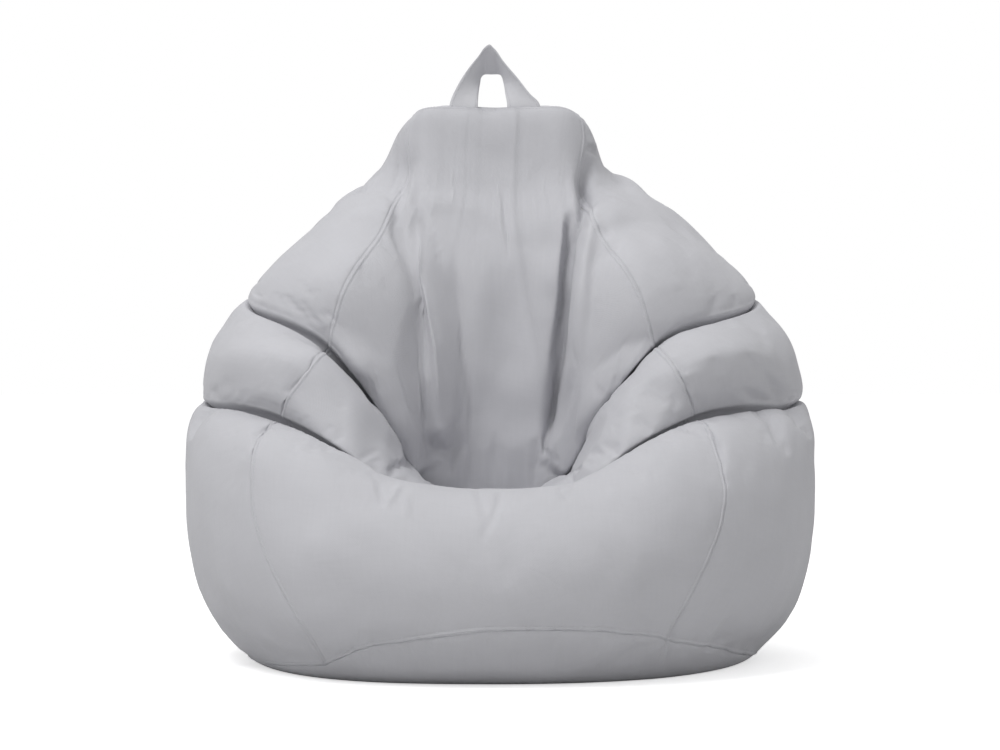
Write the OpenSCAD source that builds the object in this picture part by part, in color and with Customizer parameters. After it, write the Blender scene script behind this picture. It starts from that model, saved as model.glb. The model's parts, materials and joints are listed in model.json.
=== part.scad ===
// Teardrop bean bag chair with a carry handle. A sewn outer cover (front, two sides, two back halves, base and
// top cap) holds a zipped inner liner, and the liner holds the beads.
// Millimetres. +Z is up, -Y is the front, and the origin is on the floor under the middle of the bag.

/* [Bag] */
// Greatest width, side to side
body_w = 902; // [760:1:1100]
// Greatest depth, front roll to back
body_d = 860; // [730:1:1040]
// Height of the bag, floor to top seam
body_h = 808; // [690:1:980]

/* [Cloth] */
// Thickness of the coated outer cloth
cover_t = 1.2; // [0.8:0.1:2]
// Thickness of the liner cloth
liner_t = 0.8; // [0.5:0.1:1.5]
// Slack between the cover and the liner
liner_slack = 1; // [0.6:0.1:3]
// Slack between the liner and the beads
bead_slack = 0.8; // [0.5:0.1:3]
// Depth of the slack fold of liner under the top cap
neck_slack = 14; // [12:1:30]

/* [Carry handle] */
// Width of the folded strap
strap_w = 50; // [38:1:60]
// Thickness of the folded strap
strap_t = 2.4; // [1.6:0.1:3]
// Space between the strap's two feet
strap_gap = 40; // [30:1:60]
// Height of the loop above its hinge
strap_h = 90; // [70:1:120]
// Depth of the strap's feet below the top seam
foot_depth = 9; // [5:1:11]

/* [Zips] */
// Length of the cover zip's teeth
zip_len = 360; // [280:1:440]
// Length of the liner zip's teeth
liner_zip_len = 240; // [160:1:300]
// Opening between the cloth edges along a zip
zip_gap = 13; // [12:0.5:18]
// Width of each zip tape
tape_w = 15; // [12:0.5:18]
// Thickness of a zip tape
tape_t = 0.6; // [0.4:0.1:1]
// Width of one row of teeth
coil_w = 2.7; // [2.2:0.1:3.2]
// Thickness of a row of teeth
coil_t = 2.3; // [1.8:0.1:2.8]
// Split between the two rows of teeth
coil_split = 1.4; // [1.2:0.1:2]
// Length of a zip slider
slider_len = 13; // [10:0.5:16]
// Thickness of a slider's plates
plate_t = 1.2; // [1:0.1:1.6]
// Running clearance round the slider
run_gap = 0.3; // [0.2:0.05:0.5]
// Space between a zip tape and the cloth over it
tape_gap = 0.2; // [0.1:0.05:0.5]
// Length of the pull tab beyond its pin
pull_len = 30; // [18:1:40]
// Width of the pull tab
pull_w = 7; // [6:0.5:10]
// Radius of the pull tab's pin
pin_r = 0.7; // [0.6:0.05:0.9]

/* [Hidden] */
$fn = 32;

cover_grey = [0.74, 0.74, 0.76];
liner_white = [0.93, 0.93, 0.92];
tape_grey = [0.6, 0.6, 0.62];
teeth_grey = [0.52, 0.52, 0.54];
slider_metal = [0.72, 0.72, 0.74];
bead_white = [0.97, 0.97, 0.96];

// The form below is drawn for a bag of this size, and is stretched to the bag's own.
form_w = 902;
form_d = 860;
form_h = 808;

// The middle of the back is straight from back_low to back_high, so that a zip can lie in it.
back_low = [427, 290];
back_high = [285, 700];
back_slope = (back_high[0] - back_low[0]) / (back_high[1] - back_low[1]);
function back_y(z) = back_low[0] + back_slope * (z - back_low[1]);

// Each ring is nine points on the right half: the front middle, the rest of the front panel (1 to 3), the front
// side seam (4), the side (5), the back side seam (6), the back panel (7) and the back middle (8).
floor_edge = [[0, -345, 0], [70, -340, 0], [135, -324, 0], [178, -304, 0], [214, -280, 0], [352, 0, 0],
              [242, 255, 0], [130, 322, 0], [0, 345, 0]];
under_bulge = [[0, -408, 70], [80, -403, 68], [150, -388, 65], [195, -366, 63], [235, -340, 62], [411, 0, 62],
               [290, 302, 62], [155, 383, 66], [0, 408, 70]];
belly = [[0, -430, 155], [100, -426, 158], [190, -405, 168], [256, -368, 192], [313, -315, 225], [451, 0, 280],
         [325, 308, 250], [168, 402, 240], [0, 430, 232]];
front_crest = [[0, -322, 260], [60, -324, 261], [120, -328, 268], [212, -314, 300], [308, -245, 330],
               [446, -5, 346], [322, 298, 330], [168, 384, 330], [0, back_y(330), 330]];
lower_crease = [[0, -205, 240], [60, -206, 240], [110, -222, 250], [190, -240, 306], [292, -168, 350],
                [432, 0, 370], [314, 288, 390], [162, 366, 390], [0, back_y(390), 390]];
arm_roll = [[0, -80, 226], [58, -82, 228], [112, -105, 262], [194, -182, 374], [256, -188, 418], [428, 5, 440],
            [302, 270, 470], [152, 342, 470], [0, back_y(470), 470]];
upper_crease = [[0, 14, 232], [55, 10, 236], [102, -8, 264], [156, -68, 362], [232, -100, 450], [370, 35, 514],
                [285, 246, 545], [140, 320, 550], [0, back_y(550), 550]];
back_rest = [[0, 16, 330], [55, 12, 335], [100, -2, 362], [152, -86, 440], [212, -98, 520], [343, 62, 560],
             [243, 244, 620], [120, 298, 630], [0, back_y(630), 630]];
shoulder = [[0, 52, 560], [58, 48, 562], [110, 40, 574], [132, 0, 600], [156, 2, 622], [260, 108, 640],
            [186, 232, 700], [95, 270, 705], [0, back_y(705), 705]];
neck = [[0, 100, 716], [60, 98, 718], [108, 100, 720], [122, 106, 716], [134, 120, 712], [169, 168, 710],
        [136, 230, 742], [70, 254, 748], [0, 262, 750]];
top_edge = [[0, 130, 806], [60, 129, 808], [104, 132, 807], [114, 137, 803], [122, 146, 797], [131, 188, 787],
            [116, 226, 788], [60, 240, 794], [0, 243, 796]];
rings = [floor_edge, under_bulge, belly, front_crest, lower_crease, arm_roll, upper_crease, back_rest, shoulder,
         neck, top_edge];
creases = [4, 6];
last_ring = len(rings) - 1;
cap_middle = [0, 186, 803];

// Round the bag a place is a number from 0 to 16: 0 is the front middle, 4 and 12 the front side seams, 6 and 10
// the back side seams and 8 the back middle.
turn = 16;
right_seam = 4;
right_back_seam = 6;
back_middle = 8;
left_back_seam = 10;
left_seam = 12;
half_places = [0, 0.5, 1, 1.5, 2, 2.5, 3, 3.5, 4, 4.33, 4.67, 5, 5.33, 5.67, 6, 6.5, 7, 7.5, 7.88, 8];
places = concat(half_places, [for (i = [len(half_places) - 2 : -1 : 1]) turn - half_places[i]]);
flat_reach = 0.13; // places this near the back middle lie on the flat strip that carries the zip
// Up the bag a height is a number from -1, the middle of the base, through 0, the floor edge, to 11, the middle
// of the cap.
gore_steps = [2.5, 3, 3.5, 4, 4.5, 5, 5.5, 6, 6.5, 7, 7.5, 8, 8.5, 9, 9.5, 10];
lower_steps = [0, 0.33, 0.67, 1];
base_rows = 4;
gore_row = base_rows;
cap_row = base_rows + len(lower_steps) - 1 + len(gore_steps);
last_row = cap_row + 2;

function sized(p) = [p[0] * body_w / form_w, p[1] * body_d / form_d, p[2] * body_h / form_h];
function ease(t) = let (s = min(1, max(0, t))) s * s * (3 - 2 * s);
function mix(a, b, t) = a * (1 - t) + b * t;

// A smooth curve through points: the slope at b, and the curve from b to c.
function slope(a, b, c) = let (p = norm(b - a), q = norm(c - b)) ((b - a) * q / p + (c - b) * p / q) / (p + q);
function bend(b, c, slope_b, slope_c, t) =
    let (d = norm(c - b))
    b * (1 - 3 * t * t + 2 * t * t * t) + c * (3 * t * t - 2 * t * t * t)
    + slope_b * d * (t - 2 * t * t + t * t * t) + slope_c * d * (t * t * t - t * t);

function ring_key(ring, k) =
    let (m = (k % turn + turn) % turn, p = ring[m <= back_middle ? m : turn - m])
    sized([m <= back_middle ? p[0] : -p[0], p[1], p[2]]);
function on_ring(ring, place) =
    let (k = floor(place), a = ring_key(ring, k - 1), b = ring_key(ring, k), c = ring_key(ring, k + 1),
         d = ring_key(ring, k + 2))
    bend(b, c, slope(a, b, c), slope(b, c, d), place - k);

// How sharp a crease is: full round the front and sides, and gone at the back.
function sharpness(place) = let (m = place <= back_middle ? place : turn - place) 1 - ease((m - 4.6) / 1.6);
function is_crease(k) = len(search(k, creases)) > 0;
function slope_over(s, k, sharp) = // the slope at station k for the roll above it
    let (lower = k == 0 ? s[0] * 2 - [s[1][0], s[1][1], 0] : s[k - 1],
         upper = k == last_ring ? s[k] + (sized(cap_middle) - s[k]) * 0.3 : s[k + 1],
         smooth = slope(lower, s[k], upper))
    is_crease(k) ? mix(smooth, end_slope(s[k], s[k + 1], s[k + 2]), sharp) : smooth;
function slope_under(s, k, sharp) = // the slope at station k for the roll below it
    is_crease(k) ? mix(slope_over(s, k, 0), -end_slope(s[k], s[k - 1], s[k - 2]), sharp)
    : slope_over(s, k, sharp);
function end_slope(a, b, c) = (b - a) * 1.5 / norm(b - a) - slope(a, b, c) * 0.5;

function stations(place) = [for (r = rings) on_ring(r, place)];
function on_bag(s, place, height) =
    height <= 0 ? mix(s[0], [0, 0, 0], -height)
    : height >= last_ring ? mix(s[last_ring], sized(cap_middle), height - last_ring)
    : let (k = floor(height), sharp = sharpness(place))
      bend(s[k], s[k + 1], slope_over(s, k, sharp), slope_under(s, k + 1, sharp), height - k);

// The base seam is highest in the middle of each side and lowest at the four corners.
function seam_wave(m) = m < 4 ? cos(m * 45) : m < 6 ? -cos((m - 4) * 180) : cos((back_middle - m) * 90);
function base_seam(place) = 0.9 + 0.25 * seam_wave(place <= back_middle ? place : turn - place);
function row_heights(place) =
    let (seam = base_seam(place))
    concat([-1, -0.5, 0, seam / 2], [for (t = lower_steps) mix(seam, 2, t)], gore_steps,
           [last_ring + 0.5, last_ring + 1]);

// The zip's straight strip, up the middle of the back.
zip_low = sized([0, back_low[0], back_low[1]]);
zip_high = sized([0, back_high[0], back_high[1]]);
zip_middle = (zip_low + zip_high) / 2;
zip_lean = atan((zip_low[1] - zip_high[1]) / (zip_high[2] - zip_low[2]));
flat_margin = 60; // the strip stays straight this far beyond each end of the teeth
open_margin = 28; // and the cloth's edges part this far beyond them
edge_inset = 0.3; // the tapes stop this far short of the split between the teeth
strip_half_h = (zip_len / 2 + flat_margin) * cos(zip_lean);
strip_fade = 35;
function strip_y(z) = zip_low[1] + (zip_high[1] - zip_low[1]) * (z - zip_low[2]) / (zip_high[2] - zip_low[2]);
function in_strip(z) = 1 - ease((abs(z - zip_middle[2]) - strip_half_h) / strip_fade);
strip_half_w = coil_split / 2 + edge_inset + tape_w + 3;
function flattened(p, place) =
    let (here = in_strip(p[2]), side = sign(back_middle - place))
    abs(place - back_middle) > flat_reach ? p
    : [mix(p[0], side * strip_half_w, here), mix(p[1], strip_y(p[2]), here), p[2]];

// The bag's outer skin, row by row, and its outward normals.
skin_columns = [for (place = places)
    let (s = stations(place)) [for (height = row_heights(place)) flattened(on_bag(s, place, height), place)]];
columns = len(places);
rows = len(skin_columns[0]);
skin = [for (r = [0 : rows - 1]) [for (c = [0 : columns - 1]) skin_columns[c][r]]];
function unit(v) = v / norm(v);
normals = [for (r = [0 : rows - 1]) [for (c = [0 : columns - 1])
    r == 0 ? [0, 0, -1]
    : r == rows - 1 ? [0, 0, 1]
    : unit(cross(skin[r][(c + 1) % columns] - skin[r][(c + columns - 1) % columns],
                 skin[r + 1][c] - skin[r - 1][c]))]];

// Depths below the outer skin. Liner and beads lie deeper behind the cover zip and under the cap.
cover_in = cover_t;
liner_out = cover_t + liner_slack;
liner_in = liner_out + liner_t;
beads_out = liner_in + bead_slack;
slider_under = tape_gap + tape_t + run_gap + plate_t; // how far a slider reaches below the inside of its cloth
lug_h = 2 * pin_r + run_gap + plate_t;
slider_over = coil_t - tape_gap - cover_t + run_gap + plate_t + lug_h; // and above its outside
liner_zip_room = slider_under + slider_over + 2 * liner_slack;
beads_zip_room = liner_zip_room + slider_under + bead_slack;
beads_neck_room = 9; // space between the beads and the folded liner under the top cap
function strip_weight(place, z) =
    in_strip(z) * (1 - ease((abs(place - back_middle) - flat_reach) / 0.5));
function neck_weight(row) = ease((row - cap_row + 3) / 2);
function depth(base, zip_room, neck_room, r, c) =
    base + zip_room * strip_weight(places[c], skin[r][c][2]) + neck_room * neck_weight(r);
function layer(base, zip_room, neck_room, r, c) =
    skin[r][c] - normals[r][c] * depth(base, zip_room, neck_room, r, c);

// Half the opening in a back seam at height z, for a zip of this length.
function seam_opening(z, length) =
    let (reach = (length / 2 + open_margin) * cos(zip_lean))
    0.05 + (zip_gap / 2 - 0.05) * (1 - ease((abs(z - zip_middle[2]) - reach) / strip_fade));
function column_of(place) = search(place % turn, places)[0];
function opened(p, r, c, side, length) =
    length > 0 && c == column_of(back_middle) ? p + [side * seam_opening(skin[r][c][2], length), 0, 0] : p;

// A closed sheet from two grids of points, outer and inner, with `wrap` where it goes all the way round.
module sheet(outer, inner, wrap = false, low_pole = false, high_pole = false) {
    nr = len(outer);
    nc = len(outer[0]);
    size = nr * nc;
    spans = wrap ? nc : nc - 1;
    function at(r, c) = r * nc + c % nc;
    function quad(a, b, c, d) = [[a, b, c], [a, c, d]];
    function cells() = [for (r = [0 : nr - 2], c = [0 : spans - 1])
        [at(r, c), at(r, c + 1), at(r + 1, c + 1), at(r + 1, c), low_pole && r == 0, high_pole && r == nr - 2]];
    outside = [for (q = cells(), f = q[4] ? [[q[0], q[3], q[2]]] : q[5] ? [[q[0], q[3], q[1]]]
                    : quad(q[0], q[3], q[2], q[1])) f];
    inside = [for (f = outside) [f[2] + size, f[1] + size, f[0] + size]];
    low_rim = low_pole ? [] : [for (c = [0 : spans - 1], f = quad(at(0, c), at(0, c + 1), at(0, c + 1) + size,
                                    at(0, c) + size)) f];
    high_rim = high_pole ? [] : [for (c = [0 : spans - 1], f = quad(at(nr - 1, c), at(nr - 1, c) + size,
                                     at(nr - 1, c + 1) + size, at(nr - 1, c + 1))) f];
    left_rim = wrap ? [] : [for (r = [0 : nr - 2], f = quad(at(r + 1, 0), at(r, 0), at(r, 0) + size,
                                at(r + 1, 0) + size)) f];
    right_rim = wrap ? [] : [for (r = [0 : nr - 2], f = quad(at(r + 1, nc - 1), at(r + 1, nc - 1) + size,
                                 at(r, nc - 1) + size, at(r, nc - 1))) f];
    polyhedron(concat([for (row = outer, p = row) p], [for (row = inner, p = row) p]),
               concat(outside, inside, low_rim, high_rim, left_rim, right_rim), convexity = 8);
}

// A gore of cloth between two places, from the base seam to the top edge. `out` and `into` are its two depths.
module gore(from, to, out, into, side = 0, length = 0, zip_room = 0, neck_room = 0) {
    first = column_of(from);
    count = (column_of(to) - first + columns) % columns;
    function grid(d) = [for (r = [gore_row : cap_row]) [for (i = [0 : count])
        let (c = (first + i) % columns) opened(layer(d, zip_room, neck_room, r, c), r, c, side, length)]];
    sheet(grid(out), grid(into));
}

// A disc of cloth between two rows, closed round the bag.
module disc(first, last, out, into, neck_room = 0) {
    function grid(d) = [for (r = [first : last]) [for (c = [0 : columns - 1]) layer(d, 0, neck_room, r, c)]];
    sheet(grid(out), grid(into), wrap = true, low_pole = first == 0, high_pole = last == last_row);
}

module cover_gore(from, to, side = 0) {
    color(cover_grey) gore(from, to, 0, cover_in, side, side == 0 ? 0 : zip_len);
}

module liner_gore(from, to, side = 0) {
    color(liner_white)
        gore(from, to, liner_out, liner_in, side, side == 0 ? 0 : liner_zip_len, liner_zip_room, neck_slack);
}

module base_panel() { color(cover_grey) disc(0, gore_row, 0, cover_in); }
module top_cap() { color(cover_grey) disc(cap_row, last_row, 0, cover_in); }
module liner_base_panel() { color(liner_white) disc(0, gore_row, liner_out, liner_in); }
module liner_top_panel() { color(liner_white) disc(cap_row, last_row, liner_out, liner_in, neck_slack); }

// The beads, as one closed solid of the space that they fill.
module bead_filling() {
    pile = [for (r = [0 : last_row]) [for (c = [0 : columns - 1])
        layer(beads_out, beads_zip_room, neck_slack + beads_neck_room, r, c)]];
    function at(r, c) = r * columns + c % columns;
    color(bead_white) polyhedron([for (row = pile, p = row) p],
        [for (r = [0 : last_row - 1], c = [0 : columns - 1],
              f = r == 0 ? [[at(r, c), at(r + 1, c), at(r + 1, c + 1)]]
                  : r == last_row - 1 ? [[at(r, c), at(r + 1, c), at(r, c + 1)]]
                  : [[at(r, c), at(r + 1, c), at(r + 1, c + 1)], [at(r, c), at(r + 1, c + 1), at(r, c + 1)]]) f],
        convexity = 8);
}

// The carry handle: a strap whose flat feet stand side by side in the top seam. It turns edge-on as it rises,
// and folds over at the top.
hinge_rise = strap_t / 2 + 0.8;
hinge = [0, sized(top_edge[0])[1], sized(top_edge[1])[2] + hinge_rise];
foot_in = strap_gap / 2;
foot_out = foot_in + strap_w;
long_edge = [[foot_out, 0, 0], [foot_out - 8, -1, 0.14 * strap_h], [0.55 * foot_out, -4, 0.48 * strap_h],
             [0.24 * foot_out, -8, 0.83 * strap_h], [0, -9, strap_h]];
short_edge = [[foot_in, 0, 0], [0.9 * foot_in, 0.28 * strap_w, 0.17 * strap_h],
              [0.85 * foot_in, 0.58 * strap_w, 0.36 * strap_h], [0.68 * foot_in, 0.68 * strap_w, 0.55 * strap_h],
              [0, 0.64 * strap_w, 0.6 * strap_h]];
strap_steps = 8;
function loop_key(edge, k) =
    k < 0 ? edge[0] * 2 - edge[1] : k <= 4 ? edge[k]
    : k <= 8 ? [-edge[8 - k][0], edge[8 - k][1], edge[8 - k][2]] : loop_key(edge, 8) * 2 - loop_key(edge, 7);
function on_loop(edge, t) =
    let (k = min(7, floor(t)), a = loop_key(edge, k - 1), b = loop_key(edge, k), c = loop_key(edge, k + 1),
         d = loop_key(edge, k + 2))
    bend(b, c, slope(a, b, c), slope(b, c, d), t - k);
function on_strap(i, j) = mix(on_loop(short_edge, i / 2), on_loop(long_edge, i / 2), j / 2);
function strap_normal(i, j) =
    unit(cross(on_strap(min(16, i + 1), j) - on_strap(max(0, i - 1), j),
               on_strap(i, min(2, j + 1)) - on_strap(i, max(0, j - 1))));
module carry_handle() {
    function grid(side) = [for (j = [0 : 2]) [for (i = [0 : 2 * strap_steps])
        on_strap(i, j) + strap_normal(i, j) * side * strap_t / 2]];
    color(cover_grey) translate(hinge) sheet(grid(1), grid(-1));
}

// The strap's feet, caught in the top seam. The loop folds at their upper edge.
module handle_feet() {
    color(cover_grey)
        for (side = [-1, 1])
            translate([side * (foot_in + foot_out) / 2, hinge[1], hinge[2] - hinge_rise - foot_depth + 1])
                translate([-strap_w / 2, -strap_t / 2, 0]) cube([strap_w, strap_t, foot_depth - 0.6]);
}

// Zip parts, drawn with X across the zip, Y up it and Z out of the bag. Z = 0 is the outside of the cloth.
tape_inner = coil_split / 2 + edge_inset;
tape_top = -cover_t - tape_gap;
coil_bottom = tape_top + 0.02;
coil_top = tape_top + coil_t;
tape_tail = 20;
stop_len = 3;
plate_low = tape_top - tape_t - run_gap - plate_t;
plate_high = coil_top + run_gap;
slider_half_w = coil_split / 2 + coil_w + run_gap + 1;
post_half_w = coil_split / 2 - run_gap;
lug_w = 2;
lug_len = 7;
pin_n = plate_high + plate_t + run_gap / 2 + pin_r;
slider_park = 6; // space between the closed slider and the end of the teeth

module on_back(inward = 0) { // places a zip drawn flat on the strip of the back
    translate(zip_middle) rotate([90 - zip_lean, 0, 180]) translate([0, 0, -inward]) children();
}
liner_zip_depth = liner_out + liner_zip_room;

module zip_tape(side, length) {
    color(tape_grey)
        translate([side > 0 ? tape_inner : -tape_inner - tape_w, -length / 2 - tape_tail, tape_top - tape_t])
            cube([tape_w, length + 2 * tape_tail, tape_t]);
}

// One row of teeth: a coil drawn as a rounded bead of nylon along the tape's edge.
module zip_teeth(side, length) {
    round_r = min(coil_w, coil_t) / 3;
    color(teeth_grey)
        translate([side * (coil_split + coil_w) / 2, length / 2, coil_bottom]) rotate([90, 0, 0])
            linear_extrude(length)
                rounded_bar(coil_w, coil_t, round_r);
}
module rounded_bar(w, h, r) { // a bar's section, with its two outer corners rounded
    translate([-w / 2, 0]) square([w, h - r]);
    translate([-w / 2 + r, 0]) square([w - 2 * r, h]);
    for (x = [-w / 2 + r, w / 2 - r])
        translate([x, h - r]) circle(r);
}

module zip_bottom_stop(length) {
    color(slider_metal)
        translate([-coil_split / 2 - coil_w, -length / 2 - stop_len - 0.2, coil_bottom])
            cube([coil_split + 2 * coil_w, stop_len, coil_t]);
}
module zip_top_stops(length) {
    color(slider_metal)
        for (side = [-1, 1])
            translate([side * (coil_split + coil_w) / 2 - coil_w / 2, length / 2 + 0.2, coil_bottom])
                cube([coil_w, stop_len, coil_t]);
}

// Where the slider stands when the zip is closed.
function slider_y(length) = length / 2 - slider_len / 2 - slider_park;

module slider_plate(z) {
    translate([-slider_half_w, -slider_len / 2 + slider_half_w / 2, z])
        cube([2 * slider_half_w, slider_len - slider_half_w, plate_t]);
    for (end = [-1, 1])
        translate([0, end * (slider_len - slider_half_w) / 2, z]) intersection() {
            cylinder(h = plate_t, r = slider_half_w);
            translate([-slider_half_w, -slider_half_w / 2, 0])
                cube([2 * slider_half_w, slider_half_w, plate_t]);
        }
}

// Two plates joined by a thin post that runs in the split between the rows, with side lips and a lug on top.
module zip_slider(length) {
    lip_w = 1;
    lip_low = tape_top + run_gap;
    color(slider_metal)
        translate([0, slider_y(length), 0]) difference() {
            union() {
                slider_plate(plate_low);
                slider_plate(plate_high);
                for (side = [-1, 1])
                    translate([side > 0 ? slider_half_w - lip_w : -slider_half_w, -slider_len / 4, lip_low])
                        cube([lip_w, slider_len / 2, plate_high - lip_low + 0.1]);
                translate([-post_half_w, slider_len / 2 - 4, plate_low])
                    cube([2 * post_half_w, 3, plate_high - plate_low + 0.1]);
                translate([-lug_w / 2, -lug_len / 2, plate_high + plate_t - 0.1])
                    cube([lug_w, lug_len, lug_h + run_gap / 2 + 0.1]);
            }
            translate([0, 0, pin_n]) rotate([0, 90, 0])
                cylinder(h = 2 * lug_w, r = pin_r + run_gap / 2, center = true);
        }
}

// The pull tab hangs from a pin through the lug. Its two arms pass on either side of the lug.
module zip_pull(length) {
    arm_w = 1.4;
    arm_in = lug_w / 2 + run_gap;
    arm_len = lug_len / 2 + 2.5;
    color(slider_metal)
        translate([0, slider_y(length), pin_n]) union() {
            rotate([0, 90, 0]) cylinder(h = 2 * (arm_in + arm_w), r = pin_r, center = true);
            for (side = [-1, 1])
                translate([side > 0 ? arm_in : -arm_in - arm_w, -arm_len, -pin_r])
                    cube([arm_w, arm_len, 2 * pin_r]);
            difference() {
                union() {
                    translate([-pull_w / 2, -pull_len + pull_w / 2, -pin_r])
                        cube([pull_w, pull_len - pull_w / 2 - arm_len + 0.4, 2 * pin_r]);
                    translate([0, -pull_len + pull_w / 2, -pin_r]) cylinder(h = 2 * pin_r, r = pull_w / 2);
                }
                translate([0, -pull_len + pull_w / 2, -2 * pin_r]) cylinder(h = 4 * pin_r, r = pull_w / 4);
            }
        }
}

cover_gore(left_seam, right_seam);  // front_panel
cover_gore(left_back_seam, left_seam);  // left_panel
cover_gore(right_seam, right_back_seam);  // right_panel
cover_gore(back_middle, left_back_seam, -1);  // back_left_panel
cover_gore(right_back_seam, back_middle, 1);  // back_right_panel
base_panel();
top_cap();
handle_feet();
carry_handle();
on_back() zip_tape(1, zip_len);  // zip_tape_left
on_back() zip_tape(-1, zip_len);  // zip_tape_right
on_back() zip_teeth(1, zip_len);  // zip_teeth_left
on_back() zip_teeth(-1, zip_len);  // zip_teeth_right
on_back() zip_bottom_stop(zip_len);
on_back() zip_top_stops(zip_len);
on_back() zip_slider(zip_len);
on_back() zip_pull(zip_len);
liner_gore(left_back_seam, right_back_seam);  // liner_front_panel
liner_gore(back_middle, left_back_seam, -1);  // liner_back_left_panel
liner_gore(right_back_seam, back_middle, 1);  // liner_back_right_panel
liner_base_panel();
liner_top_panel();
on_back(liner_zip_depth) zip_tape(1, liner_zip_len);  // liner_zip_tape_left
on_back(liner_zip_depth) zip_tape(-1, liner_zip_len);  // liner_zip_tape_right
on_back(liner_zip_depth) zip_teeth(1, liner_zip_len);  // liner_zip_teeth_left
on_back(liner_zip_depth) zip_teeth(-1, liner_zip_len);  // liner_zip_teeth_right
on_back(liner_zip_depth) zip_bottom_stop(liner_zip_len);  // liner_zip_bottom_stop
on_back(liner_zip_depth) zip_top_stops(liner_zip_len);  // liner_zip_top_stops
on_back(liner_zip_depth) zip_slider(liner_zip_len);  // liner_zip_slider
bead_filling();
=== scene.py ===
"""A teardrop bean bag chair: sewn cover, strap handle, zips, liner and beads, in a soft-lit studio."""

from __future__ import annotations

import json
import logging
import math
from dataclasses import dataclass, field
from enum import Enum
from typing import Sequence

import bpy
import numpy as np
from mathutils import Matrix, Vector

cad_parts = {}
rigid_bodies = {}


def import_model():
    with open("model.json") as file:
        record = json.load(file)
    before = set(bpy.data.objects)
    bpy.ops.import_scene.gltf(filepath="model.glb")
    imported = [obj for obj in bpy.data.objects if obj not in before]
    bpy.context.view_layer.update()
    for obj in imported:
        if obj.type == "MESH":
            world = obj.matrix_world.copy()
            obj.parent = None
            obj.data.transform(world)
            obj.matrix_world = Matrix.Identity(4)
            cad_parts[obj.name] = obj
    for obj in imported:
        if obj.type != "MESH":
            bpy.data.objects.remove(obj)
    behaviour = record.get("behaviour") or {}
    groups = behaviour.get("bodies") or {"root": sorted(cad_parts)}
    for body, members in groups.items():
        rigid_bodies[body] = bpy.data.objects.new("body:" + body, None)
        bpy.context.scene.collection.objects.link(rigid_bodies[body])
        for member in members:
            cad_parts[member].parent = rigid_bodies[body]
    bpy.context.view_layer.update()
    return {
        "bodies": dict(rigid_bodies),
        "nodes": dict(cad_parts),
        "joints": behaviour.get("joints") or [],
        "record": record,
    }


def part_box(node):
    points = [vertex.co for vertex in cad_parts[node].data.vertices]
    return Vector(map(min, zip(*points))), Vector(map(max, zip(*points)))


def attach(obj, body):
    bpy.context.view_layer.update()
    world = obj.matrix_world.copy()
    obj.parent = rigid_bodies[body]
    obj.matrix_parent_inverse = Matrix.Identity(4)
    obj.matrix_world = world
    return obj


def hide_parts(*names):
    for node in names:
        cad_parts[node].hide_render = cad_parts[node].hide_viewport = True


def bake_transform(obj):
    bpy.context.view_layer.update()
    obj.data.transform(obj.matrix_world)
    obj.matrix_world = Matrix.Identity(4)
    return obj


log = logging.getLogger("bean_bag")

Points = np.ndarray
Colour = tuple[float, float, float]
TURN = 16


# ---- Small maths ----


def ease(t: Points) -> Points:
    """A smooth step from 0 to 1 as t goes from 0 to 1."""
    s = np.clip(t, 0.0, 1.0)
    return s * s * (3.0 - 2.0 * s)


def unit(v: Points) -> Points:
    """Vectors along the last axis, made one long."""
    return v / np.maximum(np.linalg.norm(v, axis=-1, keepdims=True), 1e-12)


def slope(a: Points, b: Points, c: Points) -> Points:
    """The direction of a smooth curve at b, on its way from a to c.

    Args:
        a: The points before.
        b: The points themselves.
        c: The points after.

    Returns:
        One direction for each point.
    """
    p = np.linalg.norm(b - a, axis=-1, keepdims=True)
    q = np.linalg.norm(c - b, axis=-1, keepdims=True)
    return ((b - a) * q / p + (c - b) * p / q) / (p + q)


def bend(b: Points, c: Points, slope_b: Points, slope_c: Points, t: Points) -> Points:
    """Points along the smooth curve from b to c.

    Args:
        b: The start.
        c: The end.
        slope_b: The curve's direction at the start.
        slope_c: The curve's direction at the end.
        t: How far along, from 0 to 1.

    Returns:
        The points.
    """
    d = np.linalg.norm(c - b, axis=-1, keepdims=True)
    t2, t3 = t * t, t * t * t
    return (
        b * (1 - 3 * t2 + 2 * t3)
        + c * (3 * t2 - 2 * t3)
        + slope_b * d * (t - 2 * t2 + t3)
        + slope_c * d * (t3 - t2)
    )


def distance_to_path(points: Points, path: Points) -> tuple[Points, Points, Points]:
    """How far points in a plane are from a bent path.

    Args:
        points: The points, as an array that ends in 2.
        path: The path's corners.

    Returns:
        The distance, the share of the path passed, and which side the point is on, as +1 or -1.
    """
    best = np.full(points.shape[:-1], np.inf)
    along, side = np.zeros_like(best), np.zeros_like(best)
    lengths = np.linalg.norm(np.diff(path, axis=0), axis=1)
    passed = np.concatenate([[0.0], np.cumsum(lengths)])
    for k, (a, b) in enumerate(zip(path[:-1], path[1:])):
        step = b - a
        t = np.clip(((points - a) @ step) / (step @ step), 0.0, 1.0)
        off = points - (a + t[..., None] * step)
        far = np.linalg.norm(off, axis=-1)
        nearer = far < best
        best = np.where(nearer, far, best)
        along = np.where(nearer, (passed[k] + t * lengths[k]) / passed[-1], along)
        side = np.where(nearer, np.sign(step[0] * off[..., 1] - step[1] * off[..., 0]), side)
    return best, along, side


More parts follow.
